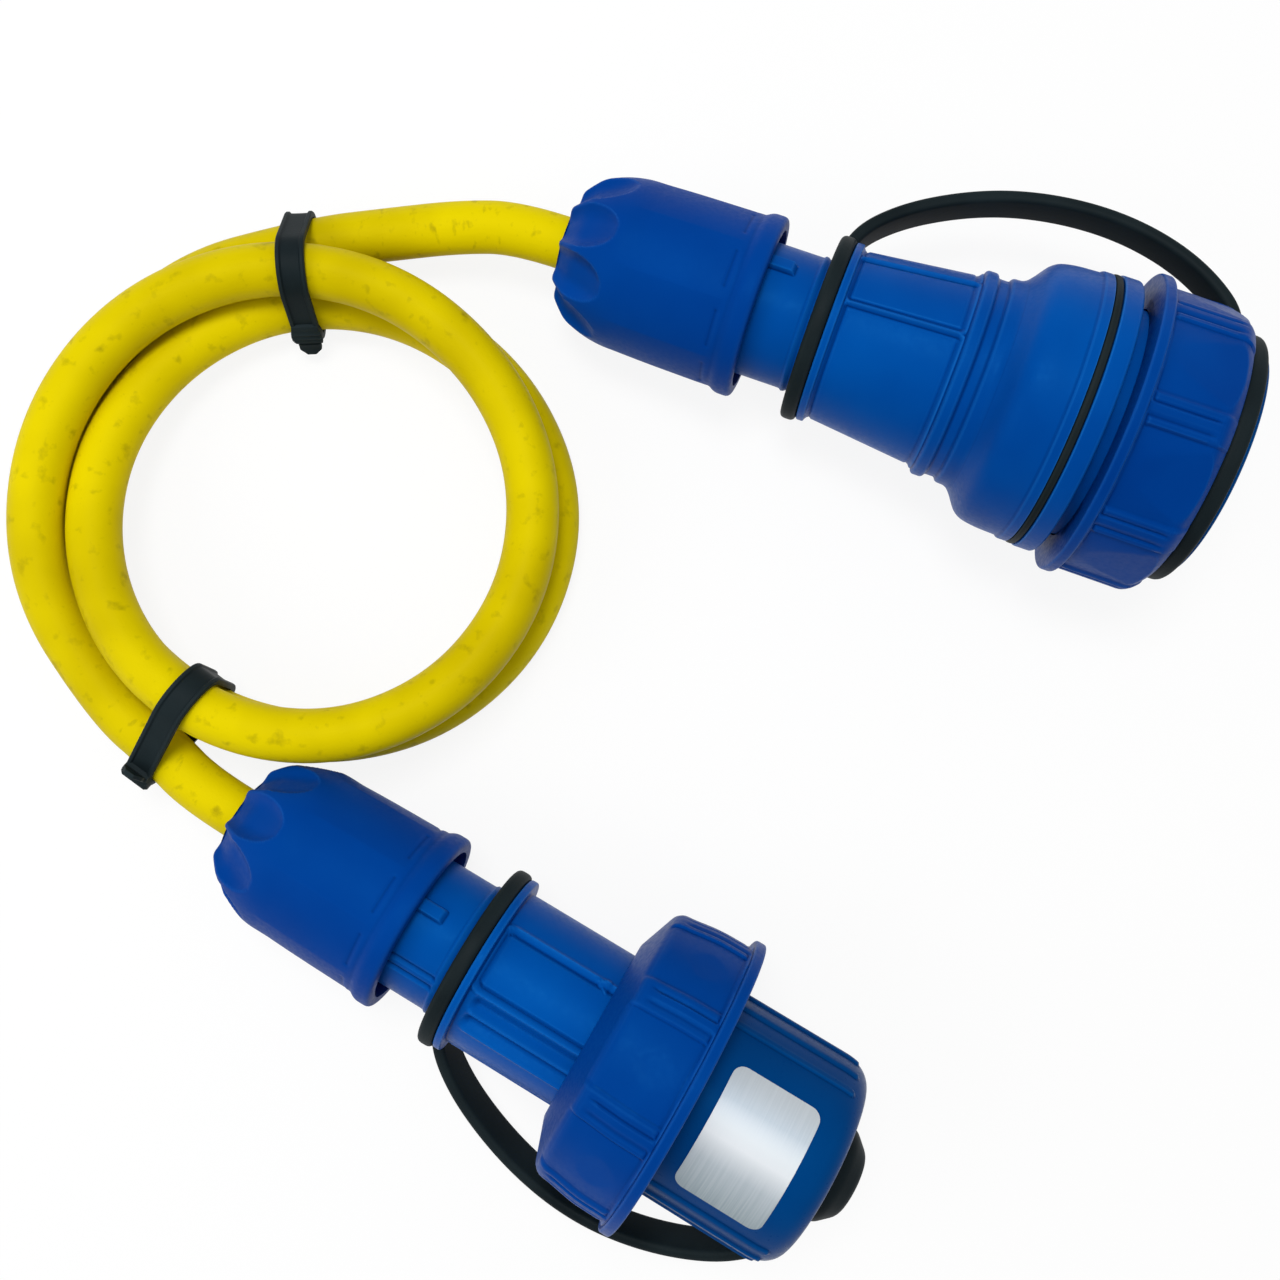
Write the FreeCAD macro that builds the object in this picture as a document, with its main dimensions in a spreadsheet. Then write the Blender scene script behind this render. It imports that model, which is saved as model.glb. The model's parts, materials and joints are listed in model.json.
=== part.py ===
"""Watertight earthed extension lead for a camper or caravan: a short rubber cable wound in a coil,
with a plug under a bayonet cap at one end and a socket under a bayonet lid at the other.

Each head is drawn along its own Z axis, from the cable end of its gland nut (0) to its front, with
local Y upwards. The finished heads lie on the floor on their nut rim and their coupling ring.
"""
import FreeCAD, Part
import math
import os
import re
import Sketcher
from FreeCAD import Placement, Rotation, Vector

# Driving dimensions in millimetres, degrees or counts
SIZES = {
    # cable and its cores
    "cable_diameter": 11.2,
    "core_diameter": 2.5,
    "core_circle": 2.7,
    "sheath_inside": 36.0,
    # gland nut
    "nut_length": 43.3,
    "nut_end_radius": 12.4,
    "nut_barrel_radius": 17.6,
    "nut_waist_radius": 18.8,
    "nut_rim_radius": 19.5,
    "nut_rim_width": 4.4,
    "nut_dome": 8.4,
    "nut_end_round": 2.6,
    "nut_shoulder_round": 9.0,
    "nut_hole_radius": 7.4,
    "nut_end_wall": 5.0,
    "nut_chamber_radius": 13.2,
    "nut_mouth_radius": 16.9,
    "nut_mouth_depth": 6.8,
    "nut_scoops": 9,
    "nut_scoop_radius": 6.5,
    "nut_scoop_tilt": 15.0,
    "nut_scoop_depth": 4.0,
    # clamping parts inside the nut
    "washer_thickness": 2.2,
    "cage_base": 3.0,
    "cage_finger": 3.9,
    "cage_slots": 6,
    "cage_slot_width": 2.4,
    "seal_radius": 10.5,
    "seal_length": 16.0,
    # neck, tether groove and flange, alike on both heads
    "neck_radius": 14.2,
    "neck_wall": 2.7,
    "neck_length": 11.4,
    "neck_start": 15.0,
    "lug_width": 5.2,
    "lug_length": 4.6,
    "lug_height": 1.5,
    "tether_ring_radius": 19.8,
    "tether_ring_width": 3.4,
    "flange_radius": 19.2,
    "flange_thickness": 1.7,
    # plug handle and front
    "plug_handle_radius": 16.7,
    "plug_handle_length": 24.5,
    "plug_bore_radius": 14.0,
    "plug_front_gap": 1.2,
    "plug_front_thickness": 3.0,
    "face_seal_thickness": 2.5,
    "plug_face_gap": 1.0,
    "plug_face_reach": 21.5,
    "pin_radius": 2.4,
    "pin_shank_radius": 2.8,
    "pin_length": 19.0,
    "pin_pitch": 19.0,
    "terminal_radius": 3.2,
    "terminal_length": 20.0,
    "spigot_length": 4.0,
    # coupling rings, alike outside, round the bayonet lugs of the socket's barrel and of the cap
    "ring_wall": 4.0,
    "ring_rim_step": 1.2,
    "ring_rim_width": 2.3,
    "ring_length": 22.2,
    "ring_drum": 17.6,
    "ring_back_wall": 3.7,
    "ring_lip": 4.2,
    "ring_panels": 8,
    "ring_panel_angle": 33.0,
    "ring_panel_depth": 0.7,
    "ring_flat_tilt": 4.2,
    "ring_flat_depth": 1.66,
    "ring_flat_length": 14.2,
    "ring_flat_overrun": 3.0,
    "ring_end_margin": 1.3,
    "ring_line_angle": 40.0,
    "ring_line_width": 0.7,
    "lock_lugs": 3,
    "lock_lug_height": 2.0,
    "lock_lug_gap": 0.6,
    "lip_gap": 0.4,
    "lock_lug_angle": 19.0,
    "lock_lug_length": 3.4,
    "lock_lug_setback": 2.3,
    "lock_slot_angle": 26.0,
    "lock_azimuth": 67.0,
    # plug cap
    "cap_face_gap": 0.8,
    "cap_wall": 2.2,
    "cap_length": 42.8,
    "cap_end_wall": 3.0,
    "cap_shoulder": 3.0,
    "cap_rib_height": 0.6,
    "cap_rib_width": 1.3,
    "cap_rib_gap": 2.4,
    "cap_rib_azimuth": 70.0,
    "button_radius": 9.2,
    "button_thickness": 4.6,
    "stud_radius": 4.2,
    "stud_head_radius": 5.4,
    "stud_head": 1.4,
    "label_length": 18.0,
    "label_angle": 83.0,
    "label_azimuth": 22.5,
    "label_thickness": 0.2,
    # socket handle, collar and barrel
    "socket_handle_start": 18.3,
    "socket_handle_end": 20.9,
    "socket_handle_length": 25.0,
    "bead_radius": 22.1,
    "bead_width": 3.0,
    "waist_radius": 21.2,
    "waist_width": 2.4,
    "flare_length": 5.4,
    "collar_radius": 28.6,
    "collar_length": 10.2,
    "oring_radius": 29.1,
    "oring_section": 1.8,
    "collar_flange_radius": 29.3,
    "collar_flange_width": 4.0,
    "barrel_radius": 24.2,
    "barrel_length": 15.4,
    "barrel_wall": 4.7,
    "recess_depth": 17.5,
    "socket_bore_radius": 15.2,
    "insert_thickness": 14.0,
    "contact_hole_radius": 3.0,
    "sleeve_radius": 3.5,
    # socket lid
    "lid_gap": 2.9,
    "lid_seal_thickness": 2.2,
    "lid_edge_gap": 0.5,
    "lid_thickness": 3.0,
    "lid_boss_radius": 22.9,
    "lid_ring_wall": 1.5,
    "lid_lip_radius": 24.2,
    "lid_lip_thickness": 0.8,
    "lid_tether_radius": 26.4,
    "lid_tether_width": 3.6,
    "lid_panel_turn": -16.4,
    # tethers
    "strap_width": 8.0,
    "strap_thickness": 2.8,
    "strap_reach": 41.0,
    "strap_root": 9.0,
    "socket_strap_droop": 8.0,
    "plug_strap_droop": 28.0,
    # earth strips
    "earth_width": 6.0,
    "earth_thickness": 0.8,
    # clearances
    "running_gap": 0.05,
    "seat_gap": 0.2,
    "slide_gap": 0.3,
    # edges
    "edge_round": 0.8,
    "rim_round": 0.6,
    "soft_round": 1.6,
    # ties round the coil
    "tie_width": 5.8,
    "tie_thickness": 1.1,
    "tie_edge": 0.35,
    "tie_gap": 0.75,
    "tie_middle": 52.0,
    "coil_reach": 25.0,
    # where the heads lie: plan place of the gland's cable end and heading
    "plug_x": -101.86,
    "plug_y": -20.86,
    "plug_heading": -30.1,
    "socket_x": -34.36,
    "socket_y": 101.94,
    "socket_heading": -20.3,
    # the coil's middle
    "coil_x": -89.96,
    "coil_y": 43.04,
}

# The coil as it was laid by hand: radius and height of the cable's middle at each eighth of a turn,
# anticlockwise from its top, with the bottom layer on the floor and the last turns on top of it
COIL_STATIONS = [
    (60.5, 8.8), (57.4, 6.6), (51.3, 6.0), (46.5, 8.3), (47.1, 6.5), (49.9, 5.7), (52.8, 5.7), (50.6, 6.3),
    (47.5, 8.0), (45.0, 9.4), (43.5, 17.0), (44.9, 22.0), (46.7, 25.6), (47.3, 22.2), (47.6, 18.2),
    (48.4, 18.3), (51.5, 19.4), (54.0, 19.1), (55.7, 17.8), (57.6, 12.6),
]
COIL_START_ANGLE = 90.0
COIL_STEP = 45.0

# Points of the free stretches between the coil and the gland nuts, on the photographed curve
SOCKET_LEAD_POINTS = [(-58.3, 106.6, 12.6), (-73.8, 105.3, 10.4)]
PLUG_LEAD_POINTS = [(-120.0, -6.8, 13.2)]
STRAIGHT_OUT = 12.0
UPPER_TIE_ANGLE = 92.5
LOWER_TIE_ANGLE = 239.0

doc = FreeCAD.newDocument("ShorePowerCord")
sheet = doc.addObject("Spreadsheet::Sheet", "Sizes")
for row, (name, value) in enumerate(SIZES.items(), start=1):
    sheet.set(f"A{row}", name)
    sheet.set(f"B{row}", str(value))
    sheet.setAlias(f"B{row}", name)
doc.recompute()

SUB_PARTS = []


def link(formula):
    """The formula with each dimension's name pointed at its cell in the sheet."""
    return re.sub(r"[a-z]\w*", lambda word: "Sizes." + word[0] if word[0] in SIZES else word[0], formula)


def size(formula):
    """The number that a formula of dimensions gives."""
    return float(sheet.evalExpression(formula))


# Stations along a head, from the cable end of the nut
TETHER_AT = "(nut_length + neck_length)"
FLANGE_AT = f"({TETHER_AT} + tether_ring_width + seat_gap)"
HANDLE_AT = f"({FLANGE_AT} + flange_thickness)"
SEAL_AT = "(nut_end_wall + washer_thickness + cage_base + seat_gap * 2)"
BORE_AT = "(sheath_inside - 3)"
CHAMBER_RADIUS = "(neck_radius - neck_wall)"

# Radii that follow from the socket's barrel and its bayonet lugs
LOCK_LUG_RADIUS = "(barrel_radius + lock_lug_height)"
RING_MOUTH_RADIUS = "(barrel_radius + lip_gap)"
RING_CAVITY_RADIUS = f"({LOCK_LUG_RADIUS} + lock_lug_gap)"
RING_RADIUS = f"({RING_CAVITY_RADIUS} + ring_wall)"
RING_RIM_RADIUS = f"({RING_RADIUS} + ring_rim_step)"
PLUG_FRONT_RADIUS = f"({RING_CAVITY_RADIUS} - plug_front_gap)"
RECESS_RADIUS = "(barrel_radius - barrel_wall)"
PLUG_FACE_RADIUS = f"({RECESS_RADIUS} - plug_face_gap)"
CAP_RADIUS = f"({PLUG_FACE_RADIUS} + cap_face_gap + cap_wall)"
FACE_SEAL_RADIUS = "(barrel_radius - seat_gap)"
LID_RADIUS = f"({RING_CAVITY_RADIUS} - lid_edge_gap)"

PLUG_RING_AT = f"({HANDLE_AT} + plug_handle_length)"
PLUG_SHELF_AT = f"({PLUG_RING_AT} + ring_back_wall + slide_gap)"
PLUG_FRONT_AT = f"({PLUG_SHELF_AT} + plug_front_thickness)"
PLUG_FACE_AT = f"({PLUG_FRONT_AT} + plug_face_reach)"
PLUG_MOUTH_AT = f"({PLUG_RING_AT} + ring_length)"
CAP_AT = f"({PLUG_FRONT_AT} + face_seal_thickness + seat_gap)"
CAP_END_AT = f"({CAP_AT} + cap_length)"

BEAD_AT = f"({HANDLE_AT} + socket_handle_length)"
WAIST_AT = f"({BEAD_AT} + bead_width)"
FLARE_AT = f"({WAIST_AT} + waist_width + bead_width)"
COLLAR_AT = f"({FLARE_AT} + flare_length)"
ORING_AT = f"({COLLAR_AT} + collar_length)"
COLLAR_FLANGE_AT = f"({ORING_AT} + oring_section)"
BARREL_AT = f"({COLLAR_FLANGE_AT} + collar_flange_width)"
BARREL_END_AT = f"({BARREL_AT} + barrel_length)"
RECESS_AT = f"({BARREL_END_AT} - recess_depth)"
LID_RING_AT = f"({BARREL_AT} + lid_gap)"
LID_SEAL_AT = f"({BARREL_END_AT} + seat_gap)"
LID_AT = f"({LID_SEAL_AT} + lid_seal_thickness)"
LID_BACK_AT = f"({LID_AT} + lid_thickness)"
LID_RING_END_AT = f"({LID_BACK_AT} + seat_gap + lid_ring_wall)"
LID_TETHER_AT = f"({LID_RING_END_AT} + seat_gap)"
LID_END_AT = f"({LID_TETHER_AT} + lid_tether_width + seat_gap)"


def origin_feature(body, role):
    """One of a body's own origin planes or axes."""
    return next(item for item in body.Origin.OriginFeatures if item.Role == role)


def new_body(label):
    """An empty body that becomes one sub-part."""
    body = doc.addObject("PartDesign::Body", label)
    body.Label = label
    SUB_PARTS.append(body)
    return body


def outline(body, name, points, plane="XZ_Plane", azimuth="0", at="0"):
    """A closed sketch through points given as pairs of formulas.

    On the XZ plane a pair is radius and station, and azimuth turns the sketch about the head's axis.
    On the XY plane a pair is local X and Y, and at is the sketch's station.
    """
    sketch = body.newObject("Sketcher::SketchObject", name)
    sketch.AttachmentSupport = [(origin_feature(body, plane), "")]
    sketch.MapMode = "FlatFace"
    if plane == "XZ_Plane":
        sketch.AttachmentOffset = Placement(Vector(), Rotation(Vector(0, 1, 0), size(azimuth)))
        sketch.setExpression("AttachmentOffset.Rotation.Angle", link(azimuth))
    else:
        sketch.AttachmentOffset = Placement(Vector(0, 0, size(at)), Rotation(Vector(0, 0, 1), size(azimuth)))
        sketch.setExpression("AttachmentOffset.Base.z", link(at))
        sketch.setExpression("AttachmentOffset.Rotation.Angle", link(azimuth))
    corners = [Vector(size(first), size(second), 0) for first, second in points]
    count = len(corners)
    for index in range(count):
        sketch.addGeometry(Part.LineSegment(corners[index], corners[(index + 1) % count]))
    for index in range(count):
        sketch.addConstraint(Sketcher.Constraint("Coincident", index, 2, (index + 1) % count, 1))
    for index, (first, second) in enumerate(points):
        for kind, formula in (("DistanceX", first), ("DistanceY", second)):
            value = size(formula)
            number = sketch.addConstraint(Sketcher.Constraint(kind, -1, 1, index, 1, value))
            sketch.setExpression(f"Constraints[{number}]", link(formula))
    return sketch


def turned(body, name, points, azimuth="0"):
    """A solid of revolution about the head's axis, whose seam lies at an azimuth."""
    feature = body.newObject("PartDesign::Revolution", name)
    feature.Profile = outline(body, name + "_outline", points, azimuth=azimuth)
    feature.ReferenceAxis = (feature.Profile[0], ["V_Axis"])
    feature.Angle = 360
    return feature


def part_turn(body, kind, name, points, angle, azimuth="0"):
    """A Revolution or Groove that spans only an angle, centred on an azimuth."""
    feature = body.newObject("PartDesign::" + kind, name)
    feature.Profile = outline(body, name + "_outline", points, azimuth=azimuth)
    feature.ReferenceAxis = (feature.Profile[0], ["V_Axis"])
    feature.setExpression("Angle", link(angle))
    feature.Midplane = True
    return feature


def extruded(body, kind, name, points, at, length, azimuth="0"):
    """A Pad or Pocket of a sketch square to the head's axis, running towards the front."""
    feature = body.newObject("PartDesign::" + kind, name)
    feature.Profile = outline(body, name + "_outline", points, plane="XY_Plane", azimuth=azimuth, at=at)
    feature.setExpression("Length", link(length))
    feature.Reversed = kind == "Pocket"
    return feature


def repeated(body, name, features, count):
    """The features set round the head's axis."""
    pattern = body.newObject("PartDesign::PolarPattern", name)
    pattern.Originals = features
    pattern.Axis = (origin_feature(body, "Z_Axis"), [""])
    pattern.Angle = 360
    pattern.setExpression("Occurrences", link(count))
    body.Tip = pattern
    return pattern


def bored(body, name, radius, at, length, x="0", y="0"):
    """A round hole along the head's axis."""
    hole = body.newObject("PartDesign::SubtractiveCylinder", name)
    hole.setExpression("Radius", link(radius))
    hole.setExpression("Height", link(length))
    for axis, formula in (("x", x), ("y", y), ("z", at)):
        hole.setExpression("Placement.Base." + axis, link(formula))
    return hole


def rod(body, name, radius, at, length, x="0", y="0"):
    """A round rod along the head's axis."""
    solid = body.newObject("PartDesign::AdditiveCylinder", name)
    solid.setExpression("Radius", link(radius))
    solid.setExpression("Height", link(length))
    for axis, formula in (("x", x), ("y", y), ("z", at)):
        solid.setExpression("Placement.Base." + axis, link(formula))
    return solid


def block(body, kind, name, spans):
    """An AdditiveBox or SubtractiveBox between low and high formulas along X, Y and Z."""
    box = body.newObject("PartDesign::" + kind, name)
    for side, axis, (low, high) in zip(("Length", "Width", "Height"), "xyz", spans):
        box.setExpression(side, link(f"({high}) - ({low})"))
        box.setExpression("Placement.Base." + axis, link(low))
    return box


def rounded(body, name, radius, choose):
    """A fillet on the edges of the body so far that choose picks."""
    doc.recompute()
    tip = body.Tip
    edges = [f"Edge{number}" for number, edge in enumerate(tip.Shape.Edges, start=1) if choose(edge)]
    fillet = body.newObject("PartDesign::Fillet", name)
    fillet.Base = (tip, edges)
    fillet.setExpression("Radius", link(radius))
    return fillet


def circle_at(radius, station, reach=0.02):
    """A test for whole circles of a radius at a station."""
    goal_radius = size(radius)
    goal_station = size(station)

    def test(edge):
        if edge.Curve.TypeId != "Part::GeomCircle":
            return False
        misses = (edge.Curve.Center.z - goal_station, edge.Curve.Radius - goal_radius, edge.Curve.Center.x)
        return all(abs(miss) < reach for miss in misses)

    return test


def either(*tests):
    """A test that passes where any of the given ones does."""
    return lambda edge: any(test(edge) for test in tests)


# Where the heads lie

def nut_shoulder():
    """The rounded shoulder of the nut, as its circle's middle (radius and station) and radius."""
    barrel_length = size("nut_length - nut_rim_width - nut_dome")
    cone = math.atan2(size("nut_barrel_radius - nut_end_radius"), size("nut_dome"))
    barrel = math.atan2(size("nut_waist_radius - nut_barrel_radius"), barrel_length)
    reach = size("nut_shoulder_round") / math.cos((cone - barrel) / 2)
    middle = (cone + barrel) / 2
    radius = size("nut_barrel_radius") - reach * math.cos(middle)
    return radius, size("nut_dome") + reach * math.sin(middle), size("nut_shoulder_round")


def head_placement(head, ring_contact):
    """A head's frame: it rests on its nut's shoulder and its ring's rim, so its front points up a little."""
    nut_radius, nut_station, nut_round = nut_shoulder()
    ring_radius = size(f"{RING_RIM_RADIUS} - rim_round")
    ring_station = size(ring_contact)
    ring_round = size("rim_round")
    rise, run = ring_radius - nut_radius, ring_station - nut_station
    pitch = math.atan2(rise, run) + math.asin((ring_round - nut_round) / math.hypot(rise, run))
    heading = math.radians(size(head + "_heading"))
    axis = Vector(math.cos(heading) * math.cos(pitch), math.sin(heading) * math.cos(pitch), math.sin(pitch))
    up = Vector(-math.cos(heading) * math.sin(pitch), -math.sin(heading) * math.sin(pitch), math.cos(pitch))
    height = nut_radius * math.cos(pitch) + nut_round - nut_station * math.sin(pitch)
    start = Vector(size(head + "_x"), size(head + "_y"), height)
    return Placement(start, Rotation(up.cross(axis), up, axis, "ZYX"))


PLUG_PLACE = head_placement("plug", f"{PLUG_MOUTH_AT} - ring_rim_width + rim_round")
SOCKET_PLACE = head_placement("socket", f"{LID_RING_AT} + rim_round")
PLACES = {"plug": PLUG_PLACE, "socket": SOCKET_PLACE}


# Gland nut: a domed cap nut, moulded with finger scoops round its cable end

def gland_nut(head):
    body = new_body(head + "_gland_nut")
    turned(body, "shell", [
        ("nut_hole_radius", "0"),
        ("nut_end_radius", "0"),
        ("nut_barrel_radius", "nut_dome"),
        ("nut_waist_radius", "nut_length - nut_rim_width"),
        ("nut_rim_radius", "nut_length - nut_rim_width"),
        ("nut_rim_radius", "nut_length"),
        ("nut_mouth_radius", "nut_length"),
        ("nut_mouth_radius", "nut_length - nut_mouth_depth"),
        ("neck_radius + running_gap", "nut_length - nut_mouth_depth"),
        ("neck_radius + running_gap", "neck_start"),
        ("nut_chamber_radius", "neck_start"),
        ("nut_chamber_radius", "nut_end_wall"),
        ("nut_hole_radius", "nut_end_wall"),
    ])
    rounded(body, "end_rounding", "nut_end_round", circle_at("nut_end_radius", "0"))
    rounded(body, "dome_rounding", "nut_shoulder_round", circle_at("nut_barrel_radius", "nut_dome"))
    scoop = body.newObject("PartDesign::SubtractiveCylinder", "scoop")
    scoop.setExpression("Radius", link("nut_scoop_radius"))
    scoop.setExpression("Height", link("nut_length"))
    scoop.Placement = Placement(Vector(), Rotation(Vector(0, 1, 0), size("nut_scoop_tilt")))
    scoop.setExpression("Placement.Rotation.Angle", link("nut_scoop_tilt"))
    scoop.setExpression("Placement.Base.x", link("nut_barrel_radius - nut_scoop_depth + nut_scoop_radius "
                                                 "- nut_dome * tan(nut_scoop_tilt)"))
    scoop.setExpression("Placement.Base.z", link("0 - nut_dome"))
    repeated(body, "scoops", [scoop], "nut_scoops")
    rounded(body, "rim_rounding", "rim_round", either(
        circle_at("nut_rim_radius", "nut_length - nut_rim_width"), circle_at("nut_rim_radius", "nut_length")))
    return body


# Clamping parts: a thrust washer and a claw cage that the nut presses on the rubber seal

def thrust_washer(head):
    body = new_body(head + "_thrust_washer")
    turned(body, "ring", [
        ("cable_diameter / 2 + slide_gap * 3", "nut_end_wall + seat_gap * 0.5"),
        ("nut_chamber_radius - slide_gap", "nut_end_wall + seat_gap * 0.5"),
        ("nut_chamber_radius - slide_gap", "nut_end_wall + seat_gap * 0.5 + washer_thickness"),
        ("cable_diameter / 2 + slide_gap * 3", "nut_end_wall + seat_gap * 0.5 + washer_thickness"),
    ])
    return body


def clamp_cage(head):
    body = new_body(head + "_clamp_cage")
    base = "nut_end_wall + seat_gap + washer_thickness"
    turned(body, "claws", [
        ("cable_diameter / 2 + slide_gap * 2", base),
        ("nut_chamber_radius - slide_gap", base),
        ("nut_chamber_radius - slide_gap", f"{base} + cage_base + cage_finger"),
        ("seal_radius + slide_gap", f"{base} + cage_base + cage_finger"),
        ("seal_radius + slide_gap", f"{base} + cage_base"),
        ("cable_diameter / 2 + slide_gap * 2", f"{base} + cage_base"),
    ])
    slot = block(body, "SubtractiveBox", "slot", [
        ("seal_radius - slide_gap", "nut_chamber_radius + 1"),
        ("0 - cage_slot_width / 2", "cage_slot_width / 2"),
        (f"{base} + cage_base", f"{base} + cage_base + cage_finger + 1"),
    ])
    repeated(body, "slots", [slot], "cage_slots")
    return body


def gland_seal(head):
    body = new_body(head + "_gland_seal")
    turned(body, "sleeve", [
        ("cable_diameter / 2 + running_gap", SEAL_AT),
        ("seal_radius", SEAL_AT),
        ("seal_radius", f"{SEAL_AT} + seal_length"),
        ("cable_diameter / 2 + running_gap", f"{SEAL_AT} + seal_length"),
    ])
    return body


def sheath_end(head):
    """The end of the cable's sheath, held in the gland."""
    body = new_body(head + "_sheath_end")
    rod(body, "sheath", "cable_diameter / 2", "0", "sheath_inside")
    return body


CORES = {"live": (1, 0), "neutral": (-1, 0), "earth": (0, 1)}


def tube_path(points):
    """Straight runs joined by tangent arcs, each arc as large as its two runs allow."""
    edges = []
    radii = []
    start = points[0]
    for before, corner, after in zip(points, points[1:], points[2:]):
        arriving = (corner - before).normalize()
        leaving = (after - corner).normalize()
        turn = arriving.getAngle(leaving)
        shorter = min((corner - before).Length, (after - corner).Length)
        set_back = 0.45 * shorter
        radius = set_back / math.tan(turn / 2)
        arc_start = corner - arriving * set_back
        arc_end = corner + leaving * set_back
        inward = (leaving - arriving).normalize()
        centre_distance = radius / math.cos(turn / 2)
        arc_middle = corner + inward * (centre_distance - radius)
        edges.append(Part.LineSegment(start, arc_start).toShape())
        edges.append(Part.Arc(arc_start, arc_middle, arc_end).toShape())
        radii.append(radius)
        start = arc_end
    edges.append(Part.LineSegment(start, points[-1]).toShape())
    return Part.Wire(edges), radii


def tube(points, diameter):
    """A round tube along straight runs and arcs."""
    path, radii = tube_path(points)
    heading = (points[1] - points[0]).normalize()
    section = Part.Wire([Part.Circle(points[0], heading, diameter / 2).toShape()])
    shell = Part.BRepOffsetAPI.MakePipeShell(path)
    shell.add(section)
    shell.build()
    shell.makeSolid()
    solid = Part.Solid(shell.shape())
    area = math.pi * diameter ** 2 / 4
    print(f"tube: volume {solid.Volume:.1f}, section times length {area * path.Length:.1f}, "
          f"length {path.Length:.1f}, radii {[round(radius, 1) for radius in radii]}")
    return solid, path


def free_shape(label, shape, placement=None):
    """A sub-part whose shape is worked out here instead of by features."""
    feature = doc.addObject("Part::Feature", label)
    feature.Label = label
    feature.Shape = shape
    if placement:
        feature.Placement = placement
    SUB_PARTS.append(feature)
    return feature


def core_wires(head, terminal_at):
    """The three insulated cores, fanned out from the sheath to their terminals."""
    solids = []
    circle = size("core_circle")
    for side_x, side_y in CORES.values():
        inner = Vector(side_x * circle, side_y * circle, 0)
        outer = Vector(side_x, side_y, 0) * size("pin_pitch / 2")
        start = size("sheath_inside + running_gap")
        end = size(terminal_at)
        spread = (end - start) / 3
        points = [
            inner + Vector(0, 0, start),
            inner + Vector(0, 0, start + spread * 0.9),
            outer + Vector(0, 0, start + spread * 2.1),
            outer + Vector(0, 0, end + size("terminal_length") * 0.4),
        ]
        solids.append(tube(points, size("core_diameter"))[0])
    return free_shape(head + "_core_wires", Part.makeCompound(solids))


# Neck with its locking lug, alike on both housings

NECK_OUTSIDE = [
    ("neck_radius", "neck_start"),
    ("neck_radius", FLANGE_AT),
    ("flange_radius", FLANGE_AT),
    ("flange_radius", HANDLE_AT),
]


def neck_inside(cavity_radius):
    """The stepped bore, from the front cavity back to the seal's pocket."""
    return [
        (cavity_radius, f"{HANDLE_AT} + 4"),
        (CHAMBER_RADIUS, f"{HANDLE_AT} + 4"),
        (CHAMBER_RADIUS, BORE_AT),
        ("cable_diameter / 2 + slide_gap * 3", BORE_AT),
        ("cable_diameter / 2 + slide_gap * 3", f"{SEAL_AT} + seal_length + seat_gap"),
        ("seal_radius + running_gap", f"{SEAL_AT} + seal_length + seat_gap"),
        ("seal_radius + running_gap", "neck_start"),
    ]


def add_neck_lug(body):
    block(body, "AdditiveBox", "neck_lug", [
        ("0 - lug_width / 2", "lug_width / 2"),
        ("neck_radius - 1", "neck_radius + lug_height"),
        ("nut_length + slide_gap * 2", "nut_length + slide_gap * 2 + lug_length"),
    ])


def add_panels(body, radius_back, radius_front, back, front, depth, azimuths, angle):
    """Shallow rectangular recesses in a handle, each left with a thin raised border inside it."""
    for number, azimuth in enumerate(azimuths):
        part_turn(body, "Groove", f"panel_{number}", [
            (f"{radius_back} - {depth}", back),
            (f"{radius_back} + 2", back),
            (f"{radius_front} + 2", front),
            (f"{radius_front} - {depth}", front),
        ], angle, azimuth)


# Plug housing

def plug_housing():
    body = new_body("plug_housing")
    turned(body, "shell", NECK_OUTSIDE + [
        ("plug_handle_radius", HANDLE_AT),
        ("plug_handle_radius", PLUG_SHELF_AT),
        (PLUG_FRONT_RADIUS, PLUG_SHELF_AT),
        (PLUG_FRONT_RADIUS, PLUG_FRONT_AT),
        ("plug_bore_radius", PLUG_FRONT_AT),
    ] + neck_inside("plug_bore_radius"))
    add_neck_lug(body)
    add_panels(body, "plug_handle_radius", "plug_handle_radius", f"{HANDLE_AT} + 2.2",
               f"{PLUG_RING_AT} - 1.6", "0.7", ["72", "192", "312"], "46")
    for azimuth in (110, 127):
        part_turn(body, "Groove", f"finger_groove_{azimuth}", [
            ("plug_handle_radius - 1.2", f"{HANDLE_AT} + 1"),
            ("plug_handle_radius + 2", f"{HANDLE_AT} + 1"),
            ("plug_handle_radius + 2", f"{PLUG_RING_AT} - 1"),
            ("plug_handle_radius - 1.2", f"{PLUG_RING_AT} - 1"),
        ], "7", str(azimuth))
    rounded(body, "flange_rounding", "edge_round * 0.6", either(
        circle_at("flange_radius", FLANGE_AT), circle_at("flange_radius", HANDLE_AT)))
    return body


# Socket housing

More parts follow.
